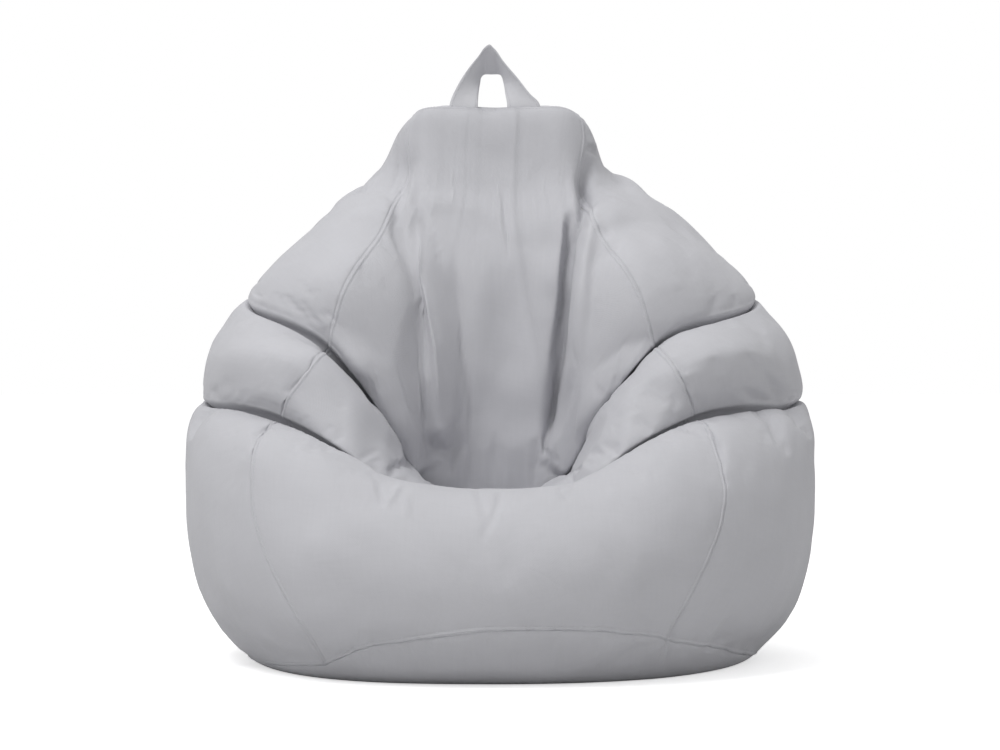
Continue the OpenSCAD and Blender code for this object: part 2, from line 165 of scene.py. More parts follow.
def smooth_path(points: Sequence[Sequence[float]], steps: int = 8) -> Points:
    """A smooth path through a few points, in a plane or in space.

    Args:
        points: The points.
        steps: How many pieces each span is cut into.

    Returns:
        The path's corners.
    """
    p = np.array(points, float)
    if len(p) < 3:
        return p
    padded = np.concatenate([[2 * p[0] - p[1]], p, [2 * p[-1] - p[-2]]])
    at = slope(padded[:-2], padded[1:-1], padded[2:])
    t = (np.arange(steps) / steps)[:, None]
    spans = [bend(p[k], p[k + 1], at[k], at[k + 1], t) for k in range(len(p) - 1)]
    return np.concatenate(spans + [p[-1:]])


# ---- The form of the bag ----


class SeamPlace(float, Enum):
    """Where the upright seams lie round the bag, from 0 at the front middle, to the sitter's left."""

    FRONT_LEFT = -4.0
    FRONT_RIGHT = 4.0
    BACK_RIGHT = 6.0
    BACK_MIDDLE = 8.0
    BACK_LEFT = 10.0
    FRONT_LEFT_AGAIN = 12.0


@dataclass(frozen=True)
class Ring:
    """One ring of the bag's form: nine points on its right half, in millimetres, and how it leans."""

    points: tuple[tuple[float, float, float], ...]
    front_shift: float = 0.0
    side_shift: float = 0.0
    left_fill: float = 0.0
    crease: float = 0.0


FLOOR_EDGE = Ring(
    ((0, -345, 0), (70, -340, 0), (135, -324, 0), (178, -304, 0), (214, -280, 0), (352, 0, 0),
     (242, 255, 0),
     (130, 322, 0), (0, 345, 0)),
    front_shift=-15,
)
UNDER_BULGE = Ring(
    ((0, -408, 70), (80, -403, 68), (150, -388, 65), (195, -366, 63), (235, -340, 62),
     (411, 0, 62), (290, 302, 62),
     (155, 383, 66), (0, 408, 70)),
    front_shift=-16,
)
BELLY = Ring(
    ((0, -430, 155), (100, -426, 158), (190, -405, 168), (256, -368, 192), (313, -315, 225), (451, 0, 280),
     (325, 308, 250), (168, 402, 240), (0, 430, 232)),
    front_shift=-20,
)
FRONT_CREST = Ring(
    ((0, -322, 260), (60, -324, 261), (120, -328, 268), (212, -314, 300), (308, -245, 330), (446, -5, 346),
     (322, 298, 330), (168, 384, 330), (0, 413, 330)),
    front_shift=-21,
)
LOWER_CREASE = Ring(
    ((0, -205, 240), (60, -206, 240), (110, -222, 250), (190, -240, 306), (292, -168, 350), (436, 0, 370),
     (314, 288, 390), (162, 366, 390), (0, 392, 390)),
    front_shift=-22,
    crease=1.0,
)
ARM_ROLL = Ring(
    ((0, -80, 226), (58, -82, 228), (112, -105, 262), (194, -182, 374), (256, -188, 418), (422, 5, 440),
     (302, 270, 470), (152, 342, 470), (0, 365, 470)),
    front_shift=-14,
)
UPPER_CREASE = Ring(
    ((0, 14, 232), (55, 10, 236), (102, -8, 264), (156, -68, 362), (232, -100, 450), (375, 35, 514),
     (285, 246, 545), (140, 320, 550), (0, 337, 550)),
    front_shift=-16,
    crease=1.0,
)
BACK_REST = Ring(
    ((0, 16, 330), (55, 12, 335), (100, -2, 362), (152, -86, 440), (212, -98, 520),
     (343, 62, 560), (243, 244, 620),
     (120, 298, 630), (0, 309, 630)),
    front_shift=-17,
)
SHOULDER = Ring(
    ((0, 52, 560), (58, 48, 562), (110, 40, 574), (132, 0, 600), (156, 2, 622), (260, 108, 640),
     (186, 232, 700),
     (95, 270, 705), (0, 283, 705)),
    front_shift=-18,
    side_shift=-3,
)
NECK = Ring(
    ((0, 100, 716), (60, 98, 718), (108, 100, 720), (122, 106, 716), (134, 120, 712), (169, 168, 710),
     (136, 230, 742), (70, 254, 748), (0, 262, 750)),
    front_shift=-13,
    side_shift=-9,
    left_fill=6,
)
TOP_EDGE = Ring(
    ((0, 130, 806), (60, 129, 808), (104, 132, 807), (114, 137, 803), (122, 146, 797), (131, 188, 787),
     (116, 226, 788), (60, 240, 794), (0, 243, 796)),
    front_shift=-9,
    side_shift=-9,
)
BAG_RINGS = (
    FLOOR_EDGE, UNDER_BULGE, BELLY, FRONT_CREST, LOWER_CREASE, ARM_ROLL, UPPER_CREASE, BACK_REST,
    SHOULDER, NECK,
    TOP_EDGE,
)
LAST = len(BAG_RINGS) - 1


@dataclass
class BagForm:
    """The slumped bag's outer surface, as a smooth skin through rings of points.

    A place round the bag goes from 0 at the front middle to 16, and a height goes from -1 at the
    base's middle, through 0 at the floor edge and 10 at the top seam, to 11 at the cap's middle. Creases
    are rings where two fat
    rolls of cloth press against each other.
    """

    rings: tuple[Ring, ...] = BAG_RINGS
    drawn_size: tuple[float, float, float] = (902.0, 860.0, 808.0)
    size: tuple[float, float, float] = (0.902, 0.860, 0.808)
    cap_middle: tuple[float, float, float] = (-6.0, 186.0, 805.0)
    crease_depth: float = 0.007
    lip_fullness: float = 0.4
    crease_places: tuple[float, ...] = (0.0, 2.6, 3.2, 4.0, 4.5, 5.0, 5.5, 6.0)
    crease_sharpness: tuple[float, ...] = (1.0, 1.0, 0.95, 0.60, 0.22, 0.0, 0.0, 0.0)
    steps_round: int = 64
    steps_up: int = 80
    # The zip's straight strip up the middle of the back: (y, z) of two points on it, in millimetres.
    back_low: tuple[float, float] = (427.0, 290.0)
    back_high: tuple[float, float] = (285.0, 700.0)
    strip_half_h: float = 0.226
    strip_half_w: float = 0.020
    strip_fade: float = 0.035
    back_share: float = 0.9
    lip_lean: float = 0.25
    crown_rise: float = 0.010
    grid: Points = field(init=False)

    def __post_init__(self) -> None:
        """Builds the fine grid that on_skin reads."""
        self.grid = self.build()

    def scaled(self, p: Points) -> Points:
        """Points as drawn, in metres and at the bag's own size."""
        return np.asarray(p, float) * np.array(self.size) / np.array(self.drawn_size)

    def sharpness(self, place: Points) -> Points:
        """How sharp a crease is at each place: full in the seat, slight at the sides, gone at the back."""
        m = np.where(place <= TURN / 2, place, TURN - place)
        return np.interp(m, self.crease_places, self.crease_sharpness)

    def whole_ring(self, ring: Ring) -> Points:
        """All sixteen points of a ring, with the lean of its front and sides.

        Args:
            ring: The ring.

        Returns:
            Sixteen points, in metres.
        """
        half = np.array(ring.points, float)
        shift = np.array([ring.front_shift] * 4 + [ring.front_shift * 0.9] + [ring.side_shift] * 4)
        right, left = half.copy(), half.copy()
        right[:, 0] += shift
        left[:, 0] = -left[:, 0] + shift
        left[5:7, 0] -= ring.left_fill
        return self.scaled(np.concatenate([right, left[-2:0:-1]]))

    def stations(self) -> Points:
        """The rings' points on a fine set of places.

        Returns:
            An array of rings by places by 3.
        """
        out = []
        for ring in self.rings:
            keys = self.whole_ring(ring)
            before, after, beyond = (np.roll(keys, k, axis=0) for k in (1, -1, -2))
            at_key, at_next = slope(before, keys, after), slope(keys, after, beyond)
            t = (np.arange(self.steps_round) / self.steps_round)[None, :, None]
            curve = bend(keys[:, None], after[:, None], at_key[:, None], at_next[:, None], t)
            out.append(curve.reshape(-1, 3))
        return np.array(out)

    def build(self) -> Points:
        """The whole skin as a fine grid, heights by places, closed round the bag with its first column.

        Returns:
            An array of heights by places by 3.
        """
        s = self.stations()
        place = np.arange(s.shape[1]) / self.steps_round
        sharp = self.sharpness(place)[:, None]
        lower = 2 * s[0] - s[1] * np.array([1, 1, 0])
        upper = s[LAST] + 0.3 * (self.scaled(self.cap_middle) - s[LAST])
        full = np.concatenate([lower[None], s, upper[None]])
        smooth = slope(full[:-2], full[1:-1], full[2:])
        inward = self.inward(s)
        under, over = smooth.copy(), smooth.copy()
        for k, ring in enumerate(self.rings):
            if ring.crease > 0:
                s[k] = s[k] + inward[k] * ring.crease * self.crease_depth * sharp
                plain, lean = smooth[k] * (1 - sharp), self.lip_lean * smooth[k]
                under[k] = plain + unit(inward[k] + lean) * sharp * self.lip_fullness
                over[k] = plain - unit(inward[k] - lean) * sharp * self.lip_fullness
        t = (np.arange(self.steps_up) / self.steps_up)[:, None, None]
        rows = [bend(s[k], s[k + 1], over[k], under[k + 1], t) for k in range(LAST)]
        grid = np.concatenate(rows + [s[LAST][None]])
        return np.concatenate([grid, grid[:, :1]], axis=1)

    def inward(self, s: Points) -> Points:
        """The direction into the bag at each ring's points, across the rolls on either side.

        Args:
            s: The rings' points.

        Returns:
            One direction for each point.
        """
        out = np.zeros_like(s)
        for k in range(1, len(s) - 1):
            round_it = np.roll(s[k], -1, axis=0) - np.roll(s[k], 1, axis=0)
            out[k] = -unit(np.cross(round_it, s[k + 1] - s[k - 1]))
        return out

    def back_line(self, z: Points) -> Points:
        """The y of the straight middle of the back at height z, in metres."""
        low, high = (self.scaled((0.0, *p)) for p in (self.back_low, self.back_high))
        return low[1] + (high[1] - low[1]) * (z - low[2]) / (high[2] - low[2])

    def zip_height(self) -> float:
        """The height of the zip's middle, in metres."""
        return self.scaled((0.0, 0.0, (self.back_low[1] + self.back_high[1]) / 2))[2]

    def zip_weight(self, x: Points, z: Points) -> Points:
        """How far a point belongs to the zip's straight strip, from 0 to 1."""
        tall = 1 - ease((np.abs(z - self.zip_height()) - self.strip_half_h) / self.strip_fade)
        return tall * (1 - ease((np.abs(x) - self.strip_half_w) / self.strip_fade))

    def on_skin(self, place: Points, height: Points) -> Points:
        """Points of the skin.

        Args:
            place: Places round the bag.
            height: Heights, of the same shape.

        Returns:
            The points.
        """
        u = np.mod(place, TURN) * self.steps_round
        v = np.clip(height, 0, LAST) * self.steps_up
        i = np.clip(np.floor(v).astype(int), 0, len(self.grid) - 2)
        j = np.clip(np.floor(u).astype(int), 0, self.grid.shape[1] - 2)
        a, b = (v - i)[..., None], (u - j)[..., None]
        g = self.grid
        lower, upper = (g[k, j] * (1 - b) + g[k, j + 1] * b for k in (i, i + 1))
        p = lower * (1 - a) + upper * a
        below, above = np.clip(-height, 0, 1)[..., None], np.clip(height - LAST, 0, 1)[..., None]
        crown = np.sin(above * math.pi / 2) * (1 - above) * np.array([0, 0, self.crown_rise])
        p = p * (1 - below) * (1 - above) + self.scaled(self.cap_middle) * above + crown
        back = np.cos((place - TURN / 2) * 2 * math.pi / TURN) > self.back_share
        w = np.where(back & (height > 0) & (height < LAST), self.zip_weight(p[..., 0], p[..., 2]), 0.0)
        p[..., 1] += (self.back_line(p[..., 2]) - p[..., 1]) * w
        return p


# ---- Folds in the cloth ----


class FoldKind(Enum):
    """How a fold's cross-section runs."""

    DENT = "a soft hollow"
    RIDGE = "a soft ridge"
    PLEAT = "a hollow with a ridge beside it, on the path's left"


FOLD_REACH = 3  # how many widths away from its path a fold is felt
GATE_DEPTH = 0.15  # how gently a fold stops at its lowest and highest ring
PLEAT_RIDGE = (0.9, 1.5, 0.8)  # a pleat's ridge: its share of the depth, its place in widths, and its spread


@dataclass(frozen=True)
class Fold:
    """A fold drawn on the front of the bag, as seen from the camera's place and measured in metres."""

    path: tuple[tuple[float, float], ...]
    width: float
    depth: float
    kind: FoldKind = FoldKind.DENT
    low: float = 0.0
    high: float = 11.0
    fade: tuple[float, float] = (0.25, 0.3)

    def lift(self, seen: Points, height: Points) -> Points:
        """How far the fold lifts each point out of the surface.

        Args:
            seen: Where the camera sees the points, in metres in the plane through the bag's middle.
            height: The points' heights on the form.

        Returns:
            The lift, in metres.
        """
        path = smooth_path(self.path)
        lo, hi = path.min(0) - FOLD_REACH * self.width, path.max(0) + FOLD_REACH * self.width
        near = np.all((seen > lo) & (seen < hi), axis=-1) & (height > self.low) & (height < self.high)
        out = np.zeros(seen.shape[:-1])
        if not near.any():
            return out
        far, along, side = distance_to_path(seen[near], path)
        r = far / self.width
        bell = np.exp(-r * r)
        ends = ease(along / max(self.fade[0], 1e-6)) * ease((1 - along) / max(self.fade[1], 1e-6))
        gate = ease((height[near] - self.low) / GATE_DEPTH) * ease((self.high - height[near]) / GATE_DEPTH)
        if self.kind is FoldKind.DENT:
            shape = -bell
        elif self.kind is FoldKind.RIDGE:
            shape = bell
        else:
            share, where, spread = PLEAT_RIDGE
            shape = -bell + share * np.exp(-((side * r - where) ** 2) / spread)
        out[near] = shape * ends * gate * self.depth
        return out


FRONT_FOLDS = (
    # The back rest is flat between its valleys, and comes forward to meet the arm rolls.
    Fold(((-0.160, 0.620), (-0.122, 0.480), (-0.105, 0.310)),
         0.036, 0.024, FoldKind.RIDGE, low=6.0, high=9.6),
    Fold(((-0.250, 0.480), (-0.172, 0.372), (-0.122, 0.262)),
         0.024, 0.030, FoldKind.RIDGE, low=6.0, high=8.0, fade=(0.3, 0.05)),
    Fold(((-0.112, 0.640), (-0.106, 0.520), (-0.095, 0.400), (-0.085, 0.300)),
         0.032, 0.042, FoldKind.RIDGE, low=6.0, high=9.6, fade=(0.25, 0.1)),
    Fold(((-0.040, 0.620), (-0.040, 0.480), (-0.040, 0.340)),
         0.036, 0.016, FoldKind.RIDGE, low=6.0, high=9.6),
    Fold(((0.080, 0.600), (0.062, 0.460), (0.045, 0.330)),
         0.030, 0.012, FoldKind.RIDGE, low=6.0, high=9.6),
    Fold(((0.240, 0.462), (0.145, 0.375), (0.082, 0.262)),
         0.022, 0.028, FoldKind.RIDGE, low=6.0, high=8.0, fade=(0.3, 0.05)),
    # The deep valley on the sitter's left of the middle, with the long roll of cloth beside it.
    Fold(((0.128, 0.735), (0.118, 0.662), (0.101, 0.582), (0.096, 0.517), (0.088, 0.466),
          (0.079, 0.401), (0.063, 0.285)), 0.010, 0.032, low=6.0, high=9.9, fade=(0.15, 0.15)),
    Fold(((0.104, 0.650), (0.101, 0.645), (0.092, 0.582), (0.086, 0.517), (0.078, 0.466),
          (0.070, 0.400)), 0.0035, 0.014, low=6.0, high=9.8, fade=(0.15, 0.3)),
    Fold(((0.142, 0.670), (0.127, 0.600), (0.120, 0.540), (0.112, 0.450), (0.092, 0.320)),
         0.010, 0.018, FoldKind.RIDGE, low=6.0, high=9.6),
    # The shallow valley and the ridge on the other side.
    Fold(((-0.135, 0.745), (-0.147, 0.662), (-0.150, 0.589), (-0.144, 0.520)),
         0.011, 0.009, low=6.2, high=9.9),
    Fold(((-0.124, 0.670), (-0.127, 0.575), (-0.126, 0.480)),
         0.010, 0.006, FoldKind.RIDGE, low=6.2, high=9.8),
    Fold(((-0.128, 0.540), (-0.116, 0.470), (-0.108, 0.410), (-0.101, 0.335)),
         0.006, 0.006, FoldKind.PLEAT, low=6.1, high=9.5),
    Fold(((-0.097, 0.332), (-0.088, 0.315), (-0.083, 0.298)),
         0.010, 0.004, FoldKind.RIDGE, low=6.0, high=8.0),
    # Slack in the roll at the sitter's left shoulder.
    Fold(((0.128, 0.625), (0.146, 0.614), (0.166, 0.616)), 0.008, 0.004, low=7.0, high=9.0),
    Fold(((0.160, 0.646), (0.190, 0.622), (0.225, 0.582)),
         0.020, 0.006, low=6.3, high=9.0, fade=(0.4, 0.5)),
    Fold(((0.235, 0.622), (0.262, 0.600), (0.290, 0.588)),
         0.014, 0.003, low=6.3, high=9.0, fade=(0.4, 0.5)),
    # Wrinkles where the front roll meets the hollow of the seat.
    Fold(((-0.178, 0.262), (-0.174, 0.240), (-0.170, 0.212)), 0.005, 0.004, low=1.5, high=4.0),
    Fold(((-0.144, 0.256), (-0.156, 0.235), (-0.168, 0.214)),
         0.004, 0.004, FoldKind.RIDGE, low=1.5, high=4.0),
    Fold(((-0.139, 0.242), (-0.136, 0.222), (-0.137, 0.195)),
         0.004, 0.003, FoldKind.RIDGE, low=1.5, high=4.0),
    Fold(((-0.034, 0.250), (-0.026, 0.210), (-0.020, 0.175)),
         0.006, 0.004, low=1.5, high=4.0, fade=(0.1, 0.5)),
    Fold(((0.000, 0.246), (-0.006, 0.215), (-0.022, 0.180), (-0.038, 0.155)),
         0.006, 0.004, low=1.5, high=4.0, fade=(0.1, 0.5)),
    Fold(((0.083, 0.252), (0.090, 0.236), (0.096, 0.222)),
         0.005, 0.004, low=1.5, high=4.0, fade=(0.1, 0.5)),
    Fold(((0.105, 0.258), (0.100, 0.240), (0.097, 0.222)),
         0.004, 0.003, low=1.5, high=4.0, fade=(0.1, 0.5)),
    Fold(((0.104, 0.262), (0.143, 0.280), (0.176, 0.292)),
         0.007, 0.004, FoldKind.PLEAT, low=1.5, high=4.0),
    # The second crease under the sitter's right arm.
    Fold(((-0.280, 0.318), (-0.250, 0.302), (-0.190, 0.271), (-0.150, 0.256)),
         0.006, 0.007, FoldKind.PLEAT, low=2.2, high=4.0),
    Fold(((-0.265, 0.330), (-0.226, 0.309), (-0.183, 0.276)), 0.008, 0.005, low=3.2, high=4.0),
    # Gathers that run out to the silhouette at the sitter's left arm.
    Fold(((0.330, 0.392), (0.370, 0.376), (0.415, 0.364)),
         0.007, 0.006, low=4.0, high=6.0, fade=(0.4, 0.05)),
    Fold(((0.352, 0.430), (0.385, 0.402), (0.425, 0.372)),
         0.009, 0.006, low=4.0, high=6.0, fade=(0.4, 0.05)),
    Fold(((0.372, 0.412), (0.400, 0.380), (0.436, 0.336)),
         0.008, 0.006, low=1.5, high=6.0, fade=(0.4, 0.05)),
    Fold(((0.366, 0.376), (0.369, 0.362), (0.372, 0.348)), 0.006, 0.004, low=1.5, high=4.0),
    Fold(((0.380, 0.334), (0.383, 0.322), (0.384, 0.308)), 0.006, 0.003, low=1.5, high=4.0),
    Fold(((-0.424, 0.377), (-0.400, 0.392), (-0.378, 0.402)), 0.009, 0.004, low=4.0, high=6.0),
    # Creases where the bag meets the floor.
    Fold(((0.296, 0.010), (0.316, 0.020), (0.338, 0.033)), 0.004, 0.005, low=0.1, high=1.5),
    Fold(((0.165, 0.003), (0.200, 0.012), (0.234, 0.026)), 0.007, 0.004, low=0.1, high=1.5),
    Fold(((0.276, 0.020), (0.286, 0.030), (0.296, 0.038)), 0.004, 0.003, low=0.1, high=1.5),
    Fold(((0.320, 0.000), (0.330, 0.010), (0.340, 0.022)), 0.004, 0.004, low=0.1, high=1.5),
    Fold(((-0.350, 0.014), (-0.310, 0.002), (-0.268, -0.002)), 0.006, 0.004, low=0.1, high=1.5),
    # The dip in the top seam between the handle's feet.
    Fold(((-0.034, 0.797), (-0.015, 0.792), (0.003, 0.797)), 0.006, 0.003, low=9.3, high=11.0),
    # The edge of cloth turned back at the top of the sitter's left side.
    Fold(((0.119, 0.742), (0.130, 0.735), (0.143, 0.731)),
         0.005, 0.005, FoldKind.PLEAT, low=8.3, high=10.0),
)


@dataclass(frozen=True)
class Waves:
    """Low, irregular swells in soft cloth, as a sum of plane waves."""

    length: float
    height: float
    seed: int = 1
    count: int = 9

    def at(self, p: Points) -> Points:
        """The swell's height at points, in metres."""
        rng = np.random.default_rng(self.seed)
        total = np.zeros(p.shape[:-1])
        for _ in range(self.count):
            way = unit(rng.normal(size=3))
            stretch, start = rng.uniform(0.6, 1.7), rng.uniform(0, 6.28)
            total += np.sin(p @ way * (2 * math.pi / self.length) * stretch + start)
        return total * self.height / math.sqrt(self.count)


# ---- Mesh helpers ----


def new_object(name: str, points: Points, faces: Sequence[Sequence[int]]) -> bpy.types.Object:
    """A smooth-shaded mesh object at the origin.

    Args:
        name: The object's name.
        points: Its vertices, in metres.
        faces: Its faces, as vertex numbers.

    Returns:
        The object, linked to the scene.
    """
    mesh = bpy.data.meshes.new(name)
    corners = [tuple(map(int, face)) for face in faces]
    mesh.from_pydata(np.asarray(points, float).reshape(-1, 3).tolist(), [], corners)
    mesh.shade_smooth()
    made = bpy.data.objects.new(name, mesh)
    bpy.context.scene.collection.objects.link(made)
    return made


def grid_faces(rows: int, columns: int, wrap: bool = False) -> Points:
    """The quads of a grid of points, facing outwards when places run anticlockwise seen from above.

    Args:
        rows: How many rows of points there are.
        columns: How many points a row has.
        wrap: Whether the last column joins the first.

    Returns:
        Four vertex numbers for each quad.
    """
    r, c = np.meshgrid(np.arange(rows - 1), np.arange(columns if wrap else columns - 1), indexing="ij")
    r, c = r.ravel(), c.ravel()
    d = (c + 1) % columns
    return np.stack([r * columns + c, r * columns + d, (r + 1) * columns + d, (r + 1) * columns + c], axis=1)


def grid_normals(p: Points, wrap: bool) -> Points:
    """The outward directions of a grid of points.

    Args:
        p: The points, rows by columns by 3.
        wrap: Whether the last column joins the first.

    Returns:
        One direction for each point.
    """
    if wrap:
        across = np.roll(p, -1, axis=1) - np.roll(p, 1, axis=1)
    else:
        across = np.gradient(p, axis=1)
    return unit(np.cross(across, np.gradient(p, axis=0)))


def shell(outer: Points, inner: Points, wrap: bool = False) -> tuple[Points, Points]:
    """A closed sheet between two grids of points.

    Args:
        outer: The outside, rows by columns by 3.
        inner: The inside, in the same order.
        wrap: Whether the last column joins the first.

    Returns:
        The points and the quads.
    """
    rows, columns = outer.shape[:2]
    size = rows * columns
    face = grid_faces(rows, columns, wrap)
    parts = [face, face[:, ::-1] + size]
    c = np.arange(columns if wrap else columns - 1)
    d = (c + 1) % columns
    top = (rows - 1) * columns
    parts.append(np.stack([c + size, d + size, d, c], axis=1))
    parts.append(np.stack([top + c, top + d, top + d + size, top + c + size], axis=1))
    if not wrap:
        r = np.arange(rows - 1) * columns
        last = r + columns - 1
        parts.append(np.stack([r, r + columns, r + columns + size, r + size], axis=1)[:, ::-1])
        parts.append(np.stack([last, last + columns, last + columns + size, last + size], axis=1))
    return np.concatenate([outer.reshape(-1, 3), inner.reshape(-1, 3)]), np.concatenate(parts)


def give_uv(piece: bpy.types.Object, uv: Points) -> None:
    """Gives a mesh a UV map called cloth, in metres, from one pair of numbers for each vertex."""
    layer = piece.data.uv_layers.new(name="cloth")
    loops = np.empty(len(piece.data.loops), dtype=np.int32)
    piece.data.loops.foreach_get("vertex_index", loops)
    layer.data.foreach_set("uv", uv[loops].astype(np.float32).ravel())


def cloth_uv(p: Points) -> Points:
    """How far each point of a grid lies along its row and up its column, in metres.

    Args:
        p: The points, rows by columns by 3.

    Returns:
        Two numbers for each point.
    """
    across = np.concatenate(
        [np.zeros((len(p), 1)), np.cumsum(np.linalg.norm(np.diff(p, axis=1), axis=-1), axis=1)], axis=1
    )
    steps = np.linalg.norm(np.diff(p, axis=0), axis=-1)
    up = np.concatenate([np.zeros((1, p.shape[1])), np.cumsum(steps, axis=0)])
    across -= across[:, p.shape[1] // 2][:, None]
    up -= up[len(p) // 2][None, :]
    return np.stack([across, up], axis=-1)


def along_line(path: Points, pitch: float) -> tuple[Points, Points]:
    """Even steps along a line.

    Args:
        path: The line's points.
        pitch: The distance between steps.

    Returns:
        Which part of the line each step is in, as a number between points, and the steps' distances.
    """
    far = np.concatenate([[0], np.cumsum(np.linalg.norm(np.diff(path, axis=0), axis=1))])
    at = np.arange(pitch / 2, far[-1], pitch)
    return np.interp(at, far, np.arange(len(path))), at


# ---- The net: rows and columns that follow the seams ----


@dataclass(frozen=True)
class SeamShape:
    """A flat-felled seam's cross-section: a groove, then a folded band held down by two rows of stitches."""

    offsets: tuple[float, ...] = (
        0.0, 0.0009, 0.0018, 0.003, 0.0045, 0.006, 0.0072, 0.0084, 0.010, 0.013, 0.018,
    )
    band: tuple[float, ...] = (
        -0.0014, -0.0003, 0.0001, 0.0008, 0.0010, 0.0006, -0.0004, -0.0001, 0.0, 0.0, 0.0,
    )
    plain: tuple[float, ...] = (-0.0014, -0.0008, -0.0003, -0.0001, 0.0, 0.0, 0.0, 0.0, 0.0, 0.0, 0.0)
    pucker_fade: float = 0.012
    top_share: float = 0.8
    stitch_steps: tuple[int, int] = (2, 6)
    pucker: float = 0.0006
    pucker_length: float = 0.034


@dataclass
class Net:
    """The bag's skin cut into rows and columns that follow its seams, and shared by every layer of cloth."""

    form: BagForm
    seam: SeamShape
    seam_places: tuple[float, ...] = tuple(float(seam) for seam in SeamPlace)
    middle_columns: tuple[int, ...] = (176, 80, 44, 44, 80)
    lower_rows: int = 24
    span_rows: tuple[int, ...] = (22, 18, 18, 20, 18, 32, 24)
    crease_rings: tuple[int, ...] = (4, 6)
    eye: tuple[float, float, float] = (0.0, -4.0, 0.43)
    top_rows: int = 14
    side_rows: int = 7
    floor_rows: int = 12
    cap_rows: int = 12
    pinch_places: tuple[float, ...] = (0.0, 1.4, 2.2, 3.4, 4.0, 5.0, 5.5, 6.0)
    pinch_depths: tuple[float, ...] = (0.0, 0.010, 0.022, 0.028, 0.028, 0.020, 0.010, 0.0)
    slot_width: float = 0.0017
    shoulder: float = 0.12
    shoulder_width: float = 0.012
    # Folds are felt where the cloth faces the front, and move it partly straight back.
    edge_on: float = 0.02
    facing_range: float = 0.25
    view_pull: float = 1.5
    # Swells fade near the floor, at the creases, beside the zip and near the top seam.
    floor_room: float = 0.004
    floor_fade: float = 0.03
    crease_ends: float = 4.8
    pinned_rows: float = 0.12
    back_starts: float = 0.2
    top_calm: float = 0.7
    steps: int = 128
    rows: dict[str, int] = field(init=False, default_factory=dict)
    columns: list[int] = field(init=False, default_factory=list)
    points: Points = field(init=False)
    normals: Points = field(init=False)
    flat_points: Points = field(init=False)
    flat_normals: Points = field(init=False)
    place: Points = field(init=False)
    height: Points = field(init=False)

    def __post_init__(self) -> None:
        """Lays the rows and columns out on the form."""
        fine = np.linspace(self.seam_places[0], self.seam_places[-1], 16 * self.steps + 1)
        heights = self.row_heights(fine)
        skin = self.form.on_skin(np.broadcast_to(fine, heights.shape), heights)
        far = np.cumsum(np.linalg.norm(np.diff(skin, axis=1), axis=-1), axis=1)
        far = np.concatenate([np.zeros((len(far), 1)), far], axis=1)
        place = np.array([self.column_places(fine, row) for row in far])
        self.place = place
        self.height = np.array([np.interp(p, fine, h) for p, h in zip(place, heights)])
        self.points = self.form.on_skin(self.place, self.height)
        self.normals = self.outward(self.points)
        self.flat_points, self.flat_normals = self.points, self.normals

    def base_seam(self, place: Points) -> Points:
        """The height of the base seam: it climbs over the front roll and drops at the four corners."""
        knots = (-4, -2.6, -1.4, -0.6, 0, 1.8, 2.6, 4, 4.25, 4.5, 5, 5.5, 6, 7, 8, 9, 10, 10.5, 11, 11.6, 12)
        rises = (0.45, 0.80, 0.95, 1.07, 1.12, 1.13, 1.06, 1.0, 0.75, 0.35, 0.14, 0.17, 0.5, 0.95,
                 1.1, 0.95, 0.5,
                 0.17, 0.13, 0.2, 0.45)
        raw = np.interp(place, knots, rises)
        reach = self.steps // 2
        padded = np.concatenate([raw[:-1][-reach:], raw, raw[1:][:reach]])
        return np.convolve(padded, np.hanning(2 * reach + 3)[1:-1] / np.hanning(2 * reach + 3).sum(), "valid")

    def spaced(
        self, place: Points, low: Points, high: Points, near_low: bool, near_high: bool, count: int
    ) -> Points:
        """Heights between two limits, close together beside a seam and even elsewhere.

        Args:
            place: The places.
            low: The lowest height at each place.
            high: The highest.
            near_low: Whether the lower limit is a seam.
            near_high: Whether the upper one is.
            count: How many even steps there are.

        Returns:
            Heights by places.
        """
        t = np.linspace(0, 1, 81)[:, None]
        heights = low + (high - low) * t
        skin = self.form.on_skin(np.broadcast_to(place, heights.shape), heights)
        far = np.concatenate(
            [np.zeros((1, len(place))), np.cumsum(np.linalg.norm(np.diff(skin, axis=0), axis=-1), axis=0)]
        )
        out = []
        for k in range(len(place)):
            at = self.steps_between(far[-1, k], near_low, near_high, count)
            out.append(np.interp(at, far[:, k], heights[:, k]))
        return np.array(out).T

    def steps_between(self, length: float, near_low: bool, near_high: bool, count: int) -> Points:
        """Distances from one end of a span to the other, close together beside a seam.

        Args:
            length: The span's length.
            near_low: Whether it starts at a seam.
            near_high: Whether it ends at one.
            count: How many even steps its middle has.

        Returns:
            The distances.
        """
        near = np.array(self.seam.offsets) * min(1.0, length / (2.8 * self.seam.offsets[-1]))
        start = near if near_low else near[:1]
        end = length - (near[::-1] if near_high else near[:1])
        middle = np.linspace(start[-1], end[0], count + 1)[1:-1]
        return np.concatenate([start, middle, end])

    def row_heights(self, place: Points) -> Points:
        """Every row's height at each place, from the base's middle to the cap's."""
        one = np.ones_like(place)
        seam = self.base_seam(place)
        floor = np.linspace(-0.985, 0, self.floor_rows)[:, None] * one
        side = self.spaced(place, 0 * one, seam, False, True, self.side_rows)
        lower = self.spaced(place, seam, 2 * one, True, False, self.lower_rows)
        spans = []
        for start, count in enumerate(self.span_rows, start=2):
            creased = start in self.crease_rings, start + 1 in self.crease_rings
            spans.append(self.spaced(place, start * one, (start + 1) * one, *creased, count)[1:])
        top = self.spaced(place, (LAST - 1) * one, LAST * one, False, True, self.top_rows)
        cap = (LAST + np.linspace(0, 0.985, self.cap_rows + 1)[1:])[:, None] * one
        parts = {"floor": floor, "side": side[1:], "lower": lower[1:],
                 "spans": np.concatenate(spans), "top": top[1:],
                 "cap": cap}
        count = 0
        for name, part in parts.items():
            count += len(part)
            self.rows[name] = count - 1
        return np.concatenate(list(parts.values()))

